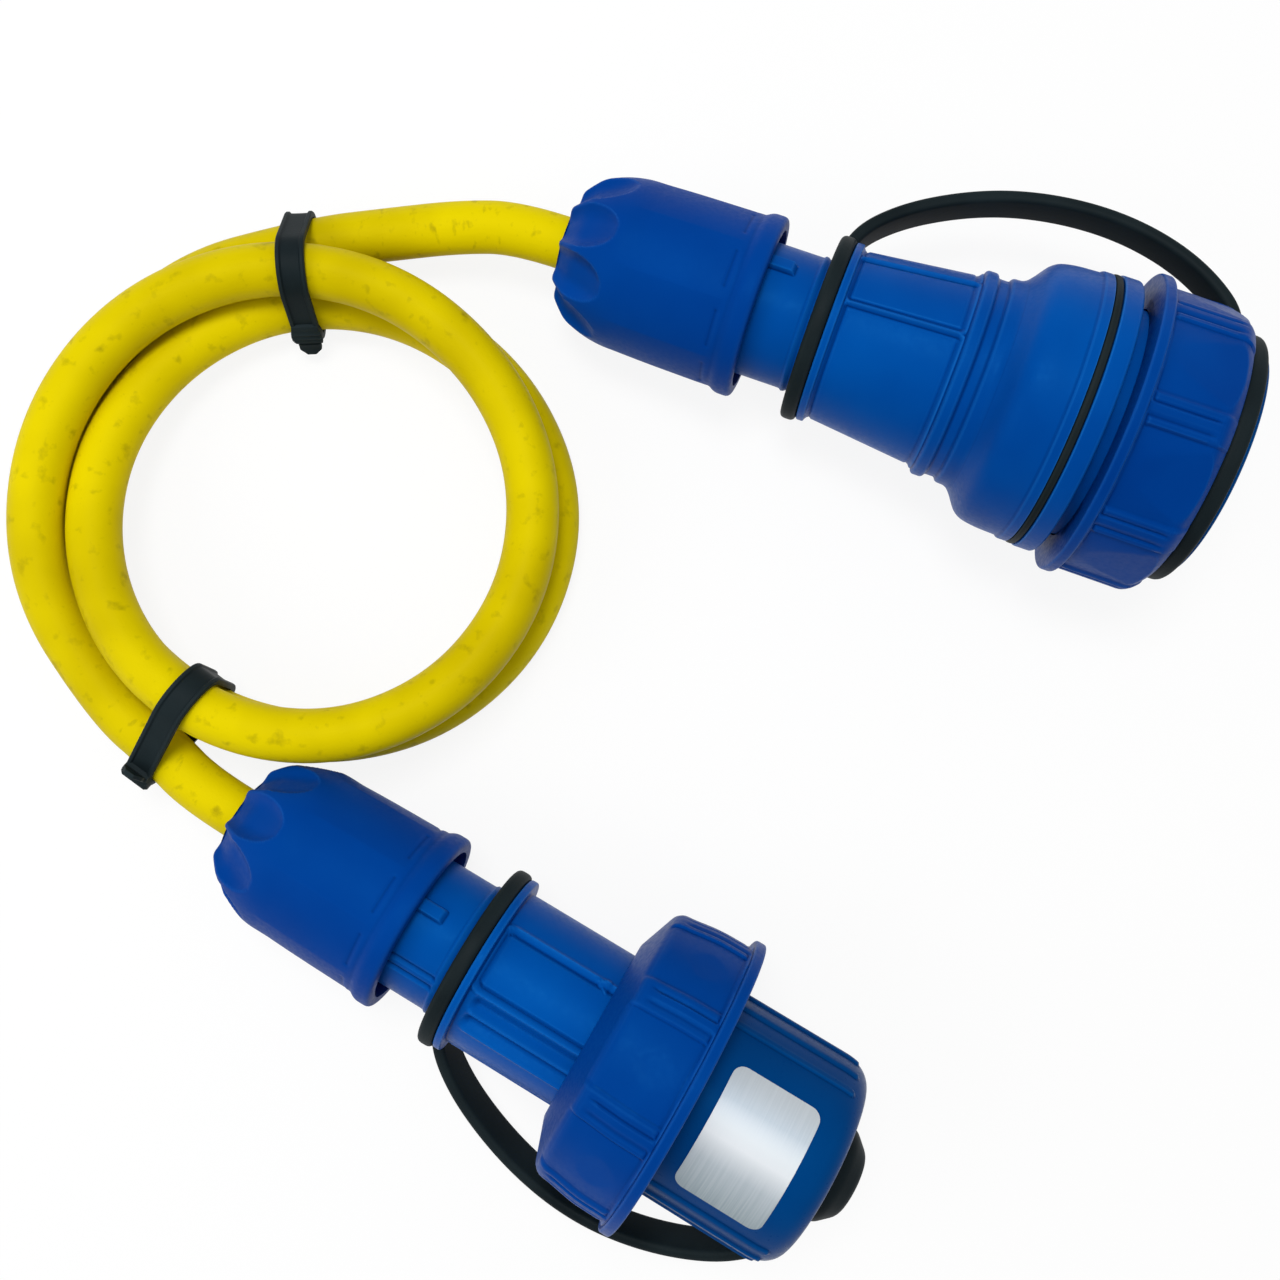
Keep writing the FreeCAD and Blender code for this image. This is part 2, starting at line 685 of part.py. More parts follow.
def socket_housing():
    body = new_body("socket_housing")
    turned(body, "shell", NECK_OUTSIDE + [
        ("socket_handle_start", HANDLE_AT),
        ("socket_handle_end", BEAD_AT),
        ("bead_radius", BEAD_AT),
        ("bead_radius", WAIST_AT),
        ("waist_radius", WAIST_AT),
        ("waist_radius", f"{WAIST_AT} + waist_width"),
        ("bead_radius", f"{WAIST_AT} + waist_width"),
        ("bead_radius", FLARE_AT),
        ("collar_radius - 0.6", COLLAR_AT),
        ("collar_radius", ORING_AT),
        ("oring_radius - oring_section", ORING_AT),
        ("oring_radius - oring_section", COLLAR_FLANGE_AT),
        ("collar_flange_radius", COLLAR_FLANGE_AT),
        ("collar_flange_radius", BARREL_AT),
        ("barrel_radius", BARREL_AT),
        ("barrel_radius", BARREL_END_AT),
        (RECESS_RADIUS, BARREL_END_AT),
        (RECESS_RADIUS, f"{RECESS_AT} - insert_thickness"),
        ("socket_bore_radius", f"{RECESS_AT} - insert_thickness"),
    ] + neck_inside("socket_bore_radius"))
    add_neck_lug(body)
    lug = part_turn(body, "Revolution", "lock_lug", [
        ("barrel_radius - 1", f"{BARREL_END_AT} - lock_lug_setback - lock_lug_length"),
        (LOCK_LUG_RADIUS, f"{BARREL_END_AT} - lock_lug_setback - lock_lug_length"),
        (LOCK_LUG_RADIUS, f"{BARREL_END_AT} - lock_lug_setback"),
        ("barrel_radius - 1", f"{BARREL_END_AT} - lock_lug_setback"),
    ], "lock_lug_angle", "90 + lock_azimuth")
    repeated(body, "lock_lugs", [lug], "lock_lugs")
    slope = "(socket_handle_end - socket_handle_start) / socket_handle_length"
    add_panels(body, f"socket_handle_start + {slope} * 2.4", f"socket_handle_end - {slope} * 2",
               f"{HANDLE_AT} + 2.4", f"{BEAD_AT} - 2", "0.7", ["28", "98", "152", "208", "262", "332"], "46")
    rounded(body, "soft_edges", "edge_round", either(
        circle_at("bead_radius", BEAD_AT), circle_at("bead_radius", WAIST_AT),
        circle_at("collar_flange_radius", BARREL_AT)))
    rounded(body, "shoulder", "soft_round * 2", circle_at("collar_radius - 0.6", COLLAR_AT))
    rounded(body, "throat", "soft_round", circle_at("bead_radius", FLARE_AT))
    rounded(body, "flange_rounding", "edge_round * 0.6", either(
        circle_at("flange_radius", FLANGE_AT), circle_at("flange_radius", HANDLE_AT)))
    return body


# Coupling rings: eight sunk panels, each with a slanted flat, and a bayonet lip with entry slots

# The seam of a ring's drum lies midway between two panels, at this azimuth before the panels' turn
RING_SEAM = "(90 - 180 / ring_panels)"


def ring_panels(body, back, mouth, panel_turn):
    """The outside pattern. back is the shoulder's station and mouth the rim's outer face."""
    forward = size(mouth) > size(back)
    sign = "+" if forward else "-"
    other = "-" if forward else "+"
    panel = part_turn(body, "Groove", "panel", [
        (f"{RING_RADIUS} - ring_panel_depth", f"{back} {other} 1"),
        (f"{RING_RADIUS} + 2", f"{back} {other} 1"),
        (f"{RING_RADIUS} + 2", f"{mouth} {other} (ring_rim_width + 0.7)"),
        (f"{RING_RADIUS} - ring_panel_depth", f"{mouth} {other} (ring_rim_width + 0.7)"),
    ], "ring_panel_angle", f"90 + {panel_turn}")
    lines = []
    for side in ("-", "+"):
        lines.append(part_turn(body, "Groove", "line_left" if side == "-" else "line_right", [
            (f"{RING_RADIUS} - 0.5", f"{back} {sign} 3"),
            (f"{RING_RADIUS} + 2", f"{back} {sign} 3"),
            (f"{RING_RADIUS} + 2", f"{mouth} {other} (ring_rim_width + 0.7)"),
            (f"{RING_RADIUS} - 0.5", f"{mouth} {other} (ring_rim_width + 0.7)"),
        ], "ring_line_width * 2", f"90 + {panel_turn} {side} ring_line_angle / 2"))
    flat = body.newObject("PartDesign::SubtractiveBox", "slanted_flat")
    reach, overrun = size("ring_flat_length"), size("ring_flat_overrun")
    tilt = size("ring_flat_tilt") if forward else -size("ring_flat_tilt")
    turn = Rotation(Vector(0, 0, 1), size(f"90 + {panel_turn}")) * Rotation(Vector(0, 1, 0), tilt)
    flat.setExpression("Length", link(RING_RADIUS))
    flat.setExpression("Width", link(RING_RADIUS))
    flat.setExpression("Height", link("ring_flat_length + ring_flat_overrun"))
    corner = Vector(size(f"{RING_RADIUS} - ring_flat_depth"), -size(f"{RING_RADIUS} / 2"),
                    -overrun if forward else -reach)
    flat.Placement = Placement(Vector(0, 0, size(back)), Rotation()) * Placement(turn.multVec(corner), turn)
    repeated(body, "panels", [panel] + lines + [flat], "ring_panels")


def lock_slots(body, lip_at, turn="0"):
    """The slots in the lip that let the bayonet lugs in."""
    slot = part_turn(body, "Groove", "entry_slot", [
        (f"{RING_MOUTH_RADIUS} - 1", f"{lip_at} - 1"),
        (RING_CAVITY_RADIUS, f"{lip_at} - 1"),
        (RING_CAVITY_RADIUS, f"{lip_at} + ring_lip + 1"),
        (f"{RING_MOUTH_RADIUS} - 1", f"{lip_at} + ring_lip + 1"),
    ], "lock_slot_angle", f"90 + lock_azimuth + {turn}")
    repeated(body, "entry_slots", [slot], "lock_lugs")


def plug_coupling_ring():
    body = new_body("plug_coupling_ring")
    drum_at = f"({PLUG_MOUTH_AT} - ring_drum)"
    turned(body, "drum", [
        ("plug_handle_radius + running_gap", PLUG_RING_AT),
        ("plug_handle_radius + 2.4", PLUG_RING_AT),
        (RING_RADIUS, drum_at),
        (RING_RADIUS, f"{PLUG_MOUTH_AT} - ring_rim_width"),
        (RING_RIM_RADIUS, f"{PLUG_MOUTH_AT} - ring_rim_width"),
        (RING_RIM_RADIUS, PLUG_MOUTH_AT),
        (RING_MOUTH_RADIUS, PLUG_MOUTH_AT),
        (RING_MOUTH_RADIUS, f"{PLUG_MOUTH_AT} - ring_lip"),
        (RING_CAVITY_RADIUS, f"{PLUG_MOUTH_AT} - ring_lip"),
        (RING_CAVITY_RADIUS, f"{PLUG_RING_AT} + ring_back_wall + 1.5"),
        (f"{RING_CAVITY_RADIUS} - 1.5", f"{PLUG_RING_AT} + ring_back_wall"),
        ("plug_handle_radius + running_gap", f"{PLUG_RING_AT} + ring_back_wall"),
    ], RING_SEAM)
    rounded(body, "shoulder", "soft_round", circle_at(RING_RADIUS, drum_at))
    rounded(body, "rim_rounding", "rim_round", either(
        circle_at(RING_RIM_RADIUS, f"{PLUG_MOUTH_AT} - ring_rim_width"),
        circle_at(RING_RIM_RADIUS, PLUG_MOUTH_AT)))
    ring_panels(body, drum_at, PLUG_MOUTH_AT, "0")
    lock_slots(body, f"{PLUG_MOUTH_AT} - ring_lip")
    return body


def lid_coupling_ring():
    body = new_body("lid_coupling_ring")
    drum_end = f"({LID_RING_AT} + ring_drum)"
    turned(body, "drum", [
        (RING_MOUTH_RADIUS, LID_RING_AT),
        (RING_RIM_RADIUS, LID_RING_AT),
        (RING_RIM_RADIUS, f"{LID_RING_AT} + ring_rim_width"),
        (RING_RADIUS, f"{LID_RING_AT} + ring_rim_width"),
        (RING_RADIUS, drum_end),
        (f"{RING_RADIUS} - ring_flat_depth - ring_end_margin", LID_RING_END_AT),
        ("lid_boss_radius + running_gap", LID_RING_END_AT),
        ("lid_boss_radius + running_gap", f"{LID_BACK_AT} + seat_gap"),
        (RING_CAVITY_RADIUS, f"{LID_BACK_AT} + seat_gap"),
        (RING_CAVITY_RADIUS, f"{LID_RING_AT} + ring_lip"),
        (RING_MOUTH_RADIUS, f"{LID_RING_AT} + ring_lip"),
    ], f"{RING_SEAM} + lid_panel_turn")
    rounded(body, "shoulder", "soft_round", circle_at(RING_RADIUS, drum_end))
    rounded(body, "rim_rounding", "rim_round", either(
        circle_at(RING_RIM_RADIUS, LID_RING_AT),
        circle_at(RING_RIM_RADIUS, f"{LID_RING_AT} + ring_rim_width")))
    ring_panels(body, drum_end, LID_RING_AT, "lid_panel_turn")
    lock_slots(body, LID_RING_AT)
    return body


# Plug front: seal, contact carrier, pins, earth strips and terminal screws

def plug_face_seal():
    body = new_body("plug_face_seal")
    turned(body, "ring", [
        (f"{PLUG_FACE_RADIUS} + seat_gap", f"{PLUG_FRONT_AT}"),
        (FACE_SEAL_RADIUS, f"{PLUG_FRONT_AT}"),
        (FACE_SEAL_RADIUS, f"{PLUG_FRONT_AT} + face_seal_thickness"),
        (f"{PLUG_FACE_RADIUS} + seat_gap", f"{PLUG_FRONT_AT} + face_seal_thickness"),
    ])
    return body


EARTH_OUT = f"({PLUG_FACE_RADIUS} - 0.4)"
PLUG_TERMINAL_AT = f"({PLUG_FRONT_AT} - terminal_length)"


def plug_contact_carrier():
    body = new_body("plug_contact_carrier")
    turned(body, "carrier", [
        ("0", f"{PLUG_FRONT_AT} - spigot_length"),
        ("plug_bore_radius - running_gap", f"{PLUG_FRONT_AT} - spigot_length"),
        ("plug_bore_radius - running_gap", PLUG_FRONT_AT),
        (PLUG_FACE_RADIUS, PLUG_FRONT_AT),
        (PLUG_FACE_RADIUS, PLUG_FACE_AT),
        ("0", PLUG_FACE_AT),
    ])
    rounded(body, "face_rounding", "edge_round", circle_at(PLUG_FACE_RADIUS, PLUG_FACE_AT))
    for name, (side_x, side_y) in CORES.items():
        x, y = f"{side_x} * pin_pitch / 2", f"{side_y} * pin_pitch / 2"
        bored(body, name + "_chamber", "terminal_radius + running_gap",
              f"{PLUG_FRONT_AT} - spigot_length - 1", "spigot_length + 1", x, y)
        if name != "earth":
            bored(body, name + "_pin_hole", "pin_shank_radius + running_gap", PLUG_FRONT_AT,
                  "plug_face_reach + 1", x, y)
    for side, low, high in (("upper", "1", "1"), ("lower", "-1", "-1")):
        inner, outer = f"{EARTH_OUT} - earth_thickness - seat_gap", f"{PLUG_FACE_RADIUS} + 1"
        span = (inner, outer) if side == "upper" else (f"0 - ({outer})", f"0 - ({inner})")
        block(body, "SubtractiveBox", side + "_groove", [
            ("0 - earth_width / 2 - seat_gap", "earth_width / 2 + seat_gap"), span,
            (f"{PLUG_FRONT_AT}", f"{PLUG_FACE_AT} + 1")])
    block(body, "SubtractiveBox", "bridge_slot", [
        ("0 - earth_width / 2 - seat_gap", "earth_width / 2 + seat_gap"),
        (f"0 - {EARTH_OUT}", EARTH_OUT),
        (PLUG_FRONT_AT, f"{PLUG_FRONT_AT} + earth_thickness + seat_gap")])
    return body


SCREW_RADIUS = 1.5
SCREW_INSET = 5.0


def screw_placement(side_x, side_y, terminal_at):
    """The place of a terminal screw: its tip on the core, its axis pointing away from the head's axis."""
    outward = Vector(side_x, side_y, 0)
    start = outward * size("pin_pitch / 2 + core_diameter / 2 + running_gap")
    start.z = size(terminal_at) + SCREW_INSET
    return Placement(start, Rotation(Vector(0, 0, 1), outward))


def plug_pin(name):
    side_x, side_y = CORES[name]
    x = f"{side_x} * pin_pitch / 2"
    body = new_body(f"plug_{name}_pin")
    rod(body, "block", "terminal_radius", PLUG_TERMINAL_AT, "terminal_length", x)
    rod(body, "shank", "pin_shank_radius", f"{PLUG_FRONT_AT} - 1", "plug_face_reach + 1", x)
    rod(body, "pin", "pin_radius", f"{PLUG_FACE_AT} - 1", "pin_length + 1", x)
    tip = size(f"{PLUG_FACE_AT} + pin_length")
    rounded(body, "tip", "pin_radius * 0.6", lambda edge: abs(edge.BoundBox.ZMin - tip) < 0.01
            and abs(edge.BoundBox.ZMax - tip) < 0.01)
    wire_and_screw_holes(body, name, side_x, side_y, PLUG_TERMINAL_AT)
    return body


def wire_and_screw_holes(body, name, side_x, side_y, terminal_at):
    x, y = f"{side_x} * pin_pitch / 2", f"{side_y} * pin_pitch / 2"
    bored(body, "wire_hole", "core_diameter / 2 + running_gap",
          f"{terminal_at} - 1", "terminal_length * 0.4 + 2", x, y)
    hole = body.newObject("PartDesign::SubtractiveCylinder", "screw_hole")
    hole.Radius = SCREW_RADIUS + size("running_gap")
    hole.setExpression("Height", link("terminal_radius * 2"))
    hole.Placement = screw_placement(side_x, side_y, terminal_at)


def plug_earth_strips():
    """A brass bridge across the carrier with a sprung strip down each side and the earth terminal."""
    body = new_body("plug_earth_strips")
    side_x, side_y = CORES["earth"]
    block(body, "AdditiveBox", "bridge", [
        ("0 - earth_width / 2", "earth_width / 2"), (f"0 - {EARTH_OUT}", EARTH_OUT),
        (f"{PLUG_FRONT_AT} + running_gap", f"{PLUG_FRONT_AT} + running_gap + earth_thickness")])
    for side, span in (("upper", (f"{EARTH_OUT} - earth_thickness", EARTH_OUT)),
                       ("lower", (f"0 - {EARTH_OUT}", f"0 - {EARTH_OUT} + earth_thickness"))):
        block(body, "AdditiveBox", side + "_strip", [
            ("0 - earth_width / 2", "earth_width / 2"), span,
            (f"{PLUG_FRONT_AT} + running_gap", f"{PLUG_FACE_AT} - 2")])
    rod(body, "earth_block", "earth_width / 2", PLUG_TERMINAL_AT,
        "terminal_length + running_gap * 2", y="pin_pitch / 2")
    wire_and_screw_holes(body, "earth", side_x, side_y, PLUG_TERMINAL_AT)
    return body


def terminal_screws(head, terminal_at, driver_slot=0.6, length=3.0):
    """Three slotted grub screws, one on each core."""
    solids = []
    for side_x, side_y in CORES.values():
        screw = Part.makeCylinder(SCREW_RADIUS, length)
        slot = Part.makeBox(SCREW_RADIUS * 4, driver_slot, driver_slot * 2,
                            Vector(-SCREW_RADIUS * 2, -driver_slot / 2, length - driver_slot))
        screw = screw.cut(slot)
        screw.Placement = screw_placement(side_x, side_y, terminal_at)
        solids.append(screw)
    return free_shape(head + "_terminal_screws", Part.makeCompound(solids))


# Plug cap: a cup over the pins, held by its lugs in the coupling ring

def plug_cap():
    body = new_body("plug_cap")
    turned(body, "cup", [
        (f"{CAP_RADIUS} - cap_wall", CAP_AT),
        (CAP_RADIUS, CAP_AT),
        (CAP_RADIUS, CAP_END_AT),
        ("stud_radius", CAP_END_AT),
        ("stud_radius", f"{CAP_END_AT} + button_thickness + seat_gap * 2"),
        ("stud_head_radius", f"{CAP_END_AT} + button_thickness + seat_gap * 2"),
        ("stud_head_radius", f"{CAP_END_AT} + button_thickness + seat_gap * 2 + stud_head"),
        ("0", f"{CAP_END_AT} + button_thickness + seat_gap * 2 + stud_head"),
        ("0", f"{CAP_END_AT} - cap_end_wall"),
        (f"{CAP_RADIUS} - cap_wall", f"{CAP_END_AT} - cap_end_wall"),
    ])
    lug = part_turn(body, "Revolution", "lock_lug", [
        (f"{CAP_RADIUS} - 1", f"{CAP_AT} + lock_lug_setback"),
        (LOCK_LUG_RADIUS, f"{CAP_AT} + lock_lug_setback"),
        (LOCK_LUG_RADIUS, f"{CAP_AT} + lock_lug_setback + lock_lug_length"),
        (f"{CAP_RADIUS} - 1", f"{CAP_AT} + lock_lug_setback + lock_lug_length"),
    ], "lock_lug_angle", "90 + lock_azimuth")
    repeated(body, "lock_lugs", [lug], "lock_lugs")
    for side, azimuth in (("left", "90 + cap_rib_azimuth"), ("right", "90 - cap_rib_azimuth")):
        for number, shift in enumerate(("-", "+")):
            extruded(body, "Pad", f"{side}_rib_{number}", [
                (f"{CAP_RADIUS} - 1", f"0 {shift} cap_rib_gap / 2 - cap_rib_width / 2"),
                (f"{CAP_RADIUS} + cap_rib_height", f"0 {shift} cap_rib_gap / 2 - cap_rib_width / 2"),
                (f"{CAP_RADIUS} + cap_rib_height", f"0 {shift} cap_rib_gap / 2 + cap_rib_width / 2"),
                (f"{CAP_RADIUS} - 1", f"0 {shift} cap_rib_gap / 2 + cap_rib_width / 2"),
            ], f"{PLUG_MOUTH_AT} - 4", f"{CAP_END_AT} - cap_shoulder - 0.5 - ({PLUG_MOUTH_AT} - 4)", azimuth)
    rounded(body, "shoulder", "cap_shoulder", circle_at(CAP_RADIUS, CAP_END_AT))
    rounded(body, "stud_rounding", "edge_round * 0.7", circle_at(
        "stud_head_radius", f"{CAP_END_AT} + button_thickness + seat_gap * 2 + stud_head"))
    return body


def cap_label():
    body = new_body("cap_label")
    start = f"{PLUG_MOUTH_AT} + 6.5"
    part_turn(body, "Revolution", "foil", [
        (f"{CAP_RADIUS} + 0.02", start),
        (f"{CAP_RADIUS} + 0.02 + label_thickness", start),
        (f"{CAP_RADIUS} + 0.02 + label_thickness", f"{start} + label_length"),
        (f"{CAP_RADIUS} + 0.02", f"{start} + label_length"),
    ], "label_angle", "90 + label_azimuth")
    rounded(body, "corners", "soft_round", lambda edge: edge.Length < size("label_thickness") * 1.5)
    return body


# Socket front: contact carrier, sleeves, earth strips, seals and lid

SOCKET_TERMINAL_AT = f"({RECESS_AT} - insert_thickness - terminal_length * 0.7)"


def socket_contact_carrier():
    body = new_body("socket_contact_carrier")
    turned(body, "carrier", [
        ("0", f"{RECESS_AT} - insert_thickness"),
        (f"{RECESS_RADIUS} - running_gap", f"{RECESS_AT} - insert_thickness"),
        (f"{RECESS_RADIUS} - running_gap", RECESS_AT),
        ("0", RECESS_AT),
    ])
    for name in ("live", "neutral"):
        x = f"{CORES[name][0]} * pin_pitch / 2"
        bored(body, name + "_chamber", "sleeve_radius + running_gap", f"{RECESS_AT} - insert_thickness - 1",
              "insert_thickness", x)
        bored(body, name + "_hole", "contact_hole_radius", f"{RECESS_AT} - 2", "4", x)
    inner = f"({RECESS_RADIUS} - earth_thickness - 0.5)"
    for side in ("upper", "lower"):
        outer = f"({RECESS_RADIUS} + 1)"
        span = (inner, outer) if side == "upper" else (f"0 - {outer}", f"0 - {inner}")
        block(body, "SubtractiveBox", side + "_groove", [
            ("0 - earth_width / 2 - seat_gap", "earth_width / 2 + seat_gap"), span,
            (f"{RECESS_AT} - insert_thickness", f"{RECESS_AT} + 1")])
    block(body, "SubtractiveBox", "bridge_slot", [
        ("0 - earth_width / 2 - seat_gap", "earth_width / 2 + seat_gap"),
        (f"0 - {inner} - 0.1", f"{inner} + 0.1"),
        (f"{RECESS_AT} - insert_thickness", f"{RECESS_AT} - insert_thickness + earth_thickness + seat_gap")])
    return body


def socket_contact(name):
    """A turned brass sleeve, slit so that it grips the pin, with its wire terminal behind."""
    side_x, side_y = CORES[name]
    x, y = f"{side_x} * pin_pitch / 2", f"{side_y} * pin_pitch / 2"
    body = new_body(f"socket_{name}_contact")
    rod(body, "sleeve", "sleeve_radius", SOCKET_TERMINAL_AT,
        "terminal_length * 0.7 + insert_thickness - 1.2", x, y)
    bored(body, "pin_bore", "pin_radius + running_gap",
          f"{RECESS_AT} - insert_thickness", "insert_thickness", x, y)
    block(body, "SubtractiveBox", "slit", [
        (f"{x} - sleeve_radius - 1", f"{x} + sleeve_radius + 1"), ("0 - 0.35", "0.35"),
        (f"{RECESS_AT} - insert_thickness + 3", f"{RECESS_AT}")])
    wire_and_screw_holes(body, name, side_x, side_y, SOCKET_TERMINAL_AT)
    return body


def socket_earth_strips():
    """A brass bridge behind the recess with a sprung strip up each side and the earth terminal."""
    body = new_body("socket_earth_strips")
    side_x, side_y = CORES["earth"]
    back = f"({RECESS_AT} - insert_thickness + running_gap)"
    out = f"({RECESS_RADIUS} - 0.3)"
    block(body, "AdditiveBox", "bridge", [
        ("0 - earth_width / 2", "earth_width / 2"), (f"0 - {out}", out), (back, f"{back} + earth_thickness")])
    for side, sign in (("upper", "1"), ("lower", "-1")):
        strip = body.newObject("PartDesign::Pad", side + "_strip")
        strip.Profile = outline(body, side + "_strip_outline", [
            (f"{sign} * {out}", back),
            (f"{sign} * {out}", f"{RECESS_AT} + 3"),
            (f"{sign} * ({out} - 1.9)", f"{RECESS_AT} + 9"),
            (f"{sign} * ({out} - 0.2)", f"{RECESS_AT} + 14"),
            (f"{sign} * ({out} - 0.2 - earth_thickness)", f"{RECESS_AT} + 14"),
            (f"{sign} * ({out} - 1.9 - earth_thickness)", f"{RECESS_AT} + 9"),
            (f"{sign} * ({out} - earth_thickness)", f"{RECESS_AT} + 3"),
            (f"{sign} * ({out} - earth_thickness)", back),
        ], azimuth="90")
        strip.setExpression("Length", link("earth_width"))
        strip.Midplane = True
    rod(body, "earth_block", "earth_width / 2", SOCKET_TERMINAL_AT,
        "terminal_length * 0.7 + running_gap * 2", y="pin_pitch / 2")
    wire_and_screw_holes(body, "earth", side_x, side_y, SOCKET_TERMINAL_AT)
    return body


def collar_oring():
    """The rubber ring in the collar's groove."""
    section = size("oring_section / 2 - running_gap")
    middle = Vector(0, 0, size(f"{ORING_AT} + oring_section / 2"))
    ring = Part.makeTorus(size("oring_radius") - section, section, middle)
    return free_shape("collar_oring", ring)


def lid_seal():
    body = new_body("lid_seal")
    turned(body, "ring", [
        (f"{RECESS_RADIUS} - 2", LID_SEAL_AT),
        ("barrel_radius", LID_SEAL_AT),
        ("barrel_radius", f"{LID_SEAL_AT} + lid_seal_thickness"),
        (f"{RECESS_RADIUS} - 2", f"{LID_SEAL_AT} + lid_seal_thickness"),
    ])
    return body


def socket_lid():
    body = new_body("socket_lid")
    turned(body, "disc", [
        ("0", LID_AT),
        (LID_RADIUS, LID_AT),
        (LID_RADIUS, LID_BACK_AT),
        ("lid_boss_radius", LID_BACK_AT),
        ("lid_boss_radius", LID_END_AT),
        ("lid_lip_radius", LID_END_AT),
        ("lid_lip_radius", f"{LID_END_AT} + lid_lip_thickness"),
        ("lid_boss_radius - 4", f"{LID_END_AT} + lid_lip_thickness"),
        ("lid_boss_radius - 4", f"{LID_END_AT} - 1"),
        ("0", f"{LID_END_AT} - 1"),
    ])
    return body


# Tethers: one rubber moulding with a ring round the neck, a flat strap and an end loop

def flat_ring(inner, outer, low, high, round_off):
    """A flat rubber ring with rounded outer edges."""
    ring = Part.makeCylinder(outer, high - low).cut(Part.makeCylinder(inner, high - low))
    rims = [edge for edge in ring.Edges if abs(edge.Length - 2 * math.pi * outer) < 0.01]
    ring = ring.makeFillet(round_off, rims)
    ring.translate(Vector(0, 0, low))
    return ring


def strap(points, width, thickness, azimuth):
    """A flat band along straight runs and arcs in the plane through the head's axis at an azimuth."""
    side = Vector(math.cos(azimuth), math.sin(azimuth), 0)
    across = Vector(0, 0, 1).cross(side)
    path, radii = tube_path([side * reach + Vector(0, 0, station) for reach, station in points])
    heading = (path.Edges[0].valueAt(path.Edges[0].LastParameter) - path.Edges[0].valueAt(
        path.Edges[0].FirstParameter)).normalize()
    normal = across.cross(heading)
    start = side * points[0][0] + Vector(0, 0, points[0][1])
    corners = [start + across * (width / 2 * first) + normal * (thickness / 2 * second)
               for first, second in ((-1, -1), (1, -1), (1, 1), (-1, 1))]
    section = Part.makePolygon(corners + corners[:1])
    shell = Part.BRepOffsetAPI.MakePipeShell(path)
    shell.setBiNormalMode(across)
    shell.add(section)
    shell.build()
    shell.makeSolid()
    return Part.Solid(shell.shape())


def tether(head, end_ring, end_reach, end_station, azimuth):
    neck_low = size(f"{TETHER_AT} + seat_gap / 2")
    width = size("tether_ring_width")
    neck = flat_ring(size("neck_radius + running_gap"), size("tether_ring_radius"),
                     neck_low, neck_low + width, 1.2)
    start = (size("tether_ring_radius") - 1.5, neck_low + width / 2)
    top = size("strap_reach")
    span = end_station - start[1]
    points = [
        start,
        (start[0] + size("strap_root"), start[1] + span * 0.015),
        (top - 3.5, start[1] + span * 0.24),
        (top + 0.3, start[1] + span * 0.52),
        (top - 1.8, start[1] + span * 0.78),
        (end_reach + (top - end_reach) * 0.62, end_station - 0.5),
        (end_reach, end_station),
    ]
    band = strap(points, size("strap_width"), size("strap_thickness"), azimuth)
    whole = neck.fuse([band, end_ring]).removeSplitter()
    return free_shape(head + "_tether", whole)


def socket_tether():
    low = size(LID_TETHER_AT)
    ring = flat_ring(size("lid_boss_radius + running_gap"), size("lid_tether_radius"), low,
                     low + size("lid_tether_width"), 1.0)
    azimuth = math.radians(-size("socket_strap_droop"))
    middle = low + size("lid_tether_width") / 2
    return tether("socket", ring, size("lid_tether_radius") - 1.2, middle, azimuth)


def plug_tether():
    low = size(f"{CAP_END_AT} + seat_gap")
    ring = flat_ring(size("stud_radius + running_gap"), size("button_radius"), low,
                     low + size("button_thickness"), 1.6)
    azimuth = math.radians(180 + size("plug_strap_droop"))
    middle = low + size("button_thickness") / 2
    return tether("plug", ring, size("button_radius") - 1.5, middle, azimuth)


# Cable: two leads and one coil, and the ties that hold the coil

def coil_point(station):
    """The cable's middle at a station, counted in eighths of a turn."""
    radius, height = COIL_STATIONS[station]
    angle = math.radians(COIL_START_ANGLE + COIL_STEP * station)
    middle = Vector(size("coil_x"), size("coil_y"), height)
    return middle + Vector(math.cos(angle), math.sin(angle), 0) * radius


def coil_tangent(station):
    """The cable's heading at a station; at the ends it is that of the lead that goes on from there."""
    if station == 0:
        return (coil_point(0) - Vector(*SOCKET_LEAD_POINTS[-1])).normalize()
    if station == len(COIL_STATIONS) - 1:
        return (Vector(*PLUG_LEAD_POINTS[0]) - coil_point(station)).normalize()
    radius, height = COIL_STATIONS[station]
    before = COIL_STATIONS[max(station - 1, 0)]
    after = COIL_STATIONS[min(station + 1, len(COIL_STATIONS) - 1)]
    steps = min(station + 1, len(COIL_STATIONS) - 1) - max(station - 1, 0)
    angle = math.radians(COIL_START_ANGLE + COIL_STEP * station)
    step = math.radians(COIL_STEP) * steps
    growth, climb = (after[0] - before[0]) / step, (after[1] - before[1]) / step
    outward = Vector(math.cos(angle), math.sin(angle), 0)
    along = Vector(-math.sin(angle), math.cos(angle), 0)
    return (along * radius + outward * growth + Vector(0, 0, climb)).normalize()


def arc_from(start, heading, end):
    """The arc that leaves start along heading and ends at end."""
    chord = end - start
    along = Vector(chord).normalize()
    across = heading - along * heading.dot(along)
    sweep = heading.getAngle(chord)
    middle = start + chord * 0.5 + across.normalize() * (chord.Length / 2 * math.tan(sweep / 2))
    return Part.Arc(start, middle, end).toShape()


def biarc(start, heading, end, last_heading):
    """Two arcs that join two points with given headings."""
    chord = end - start
    both = heading + last_heading
    bend = 2 * (1 - heading.dot(last_heading))
    reach = (math.sqrt(chord.dot(both) ** 2 + bend * chord.dot(chord)) - chord.dot(both)) / bend
    joint = (start + end + (heading - last_heading) * reach) * 0.5
    joint_heading = (joint - start - heading * reach).normalize()
    return [arc_from(start, heading, joint), arc_from(joint, joint_heading, end)]


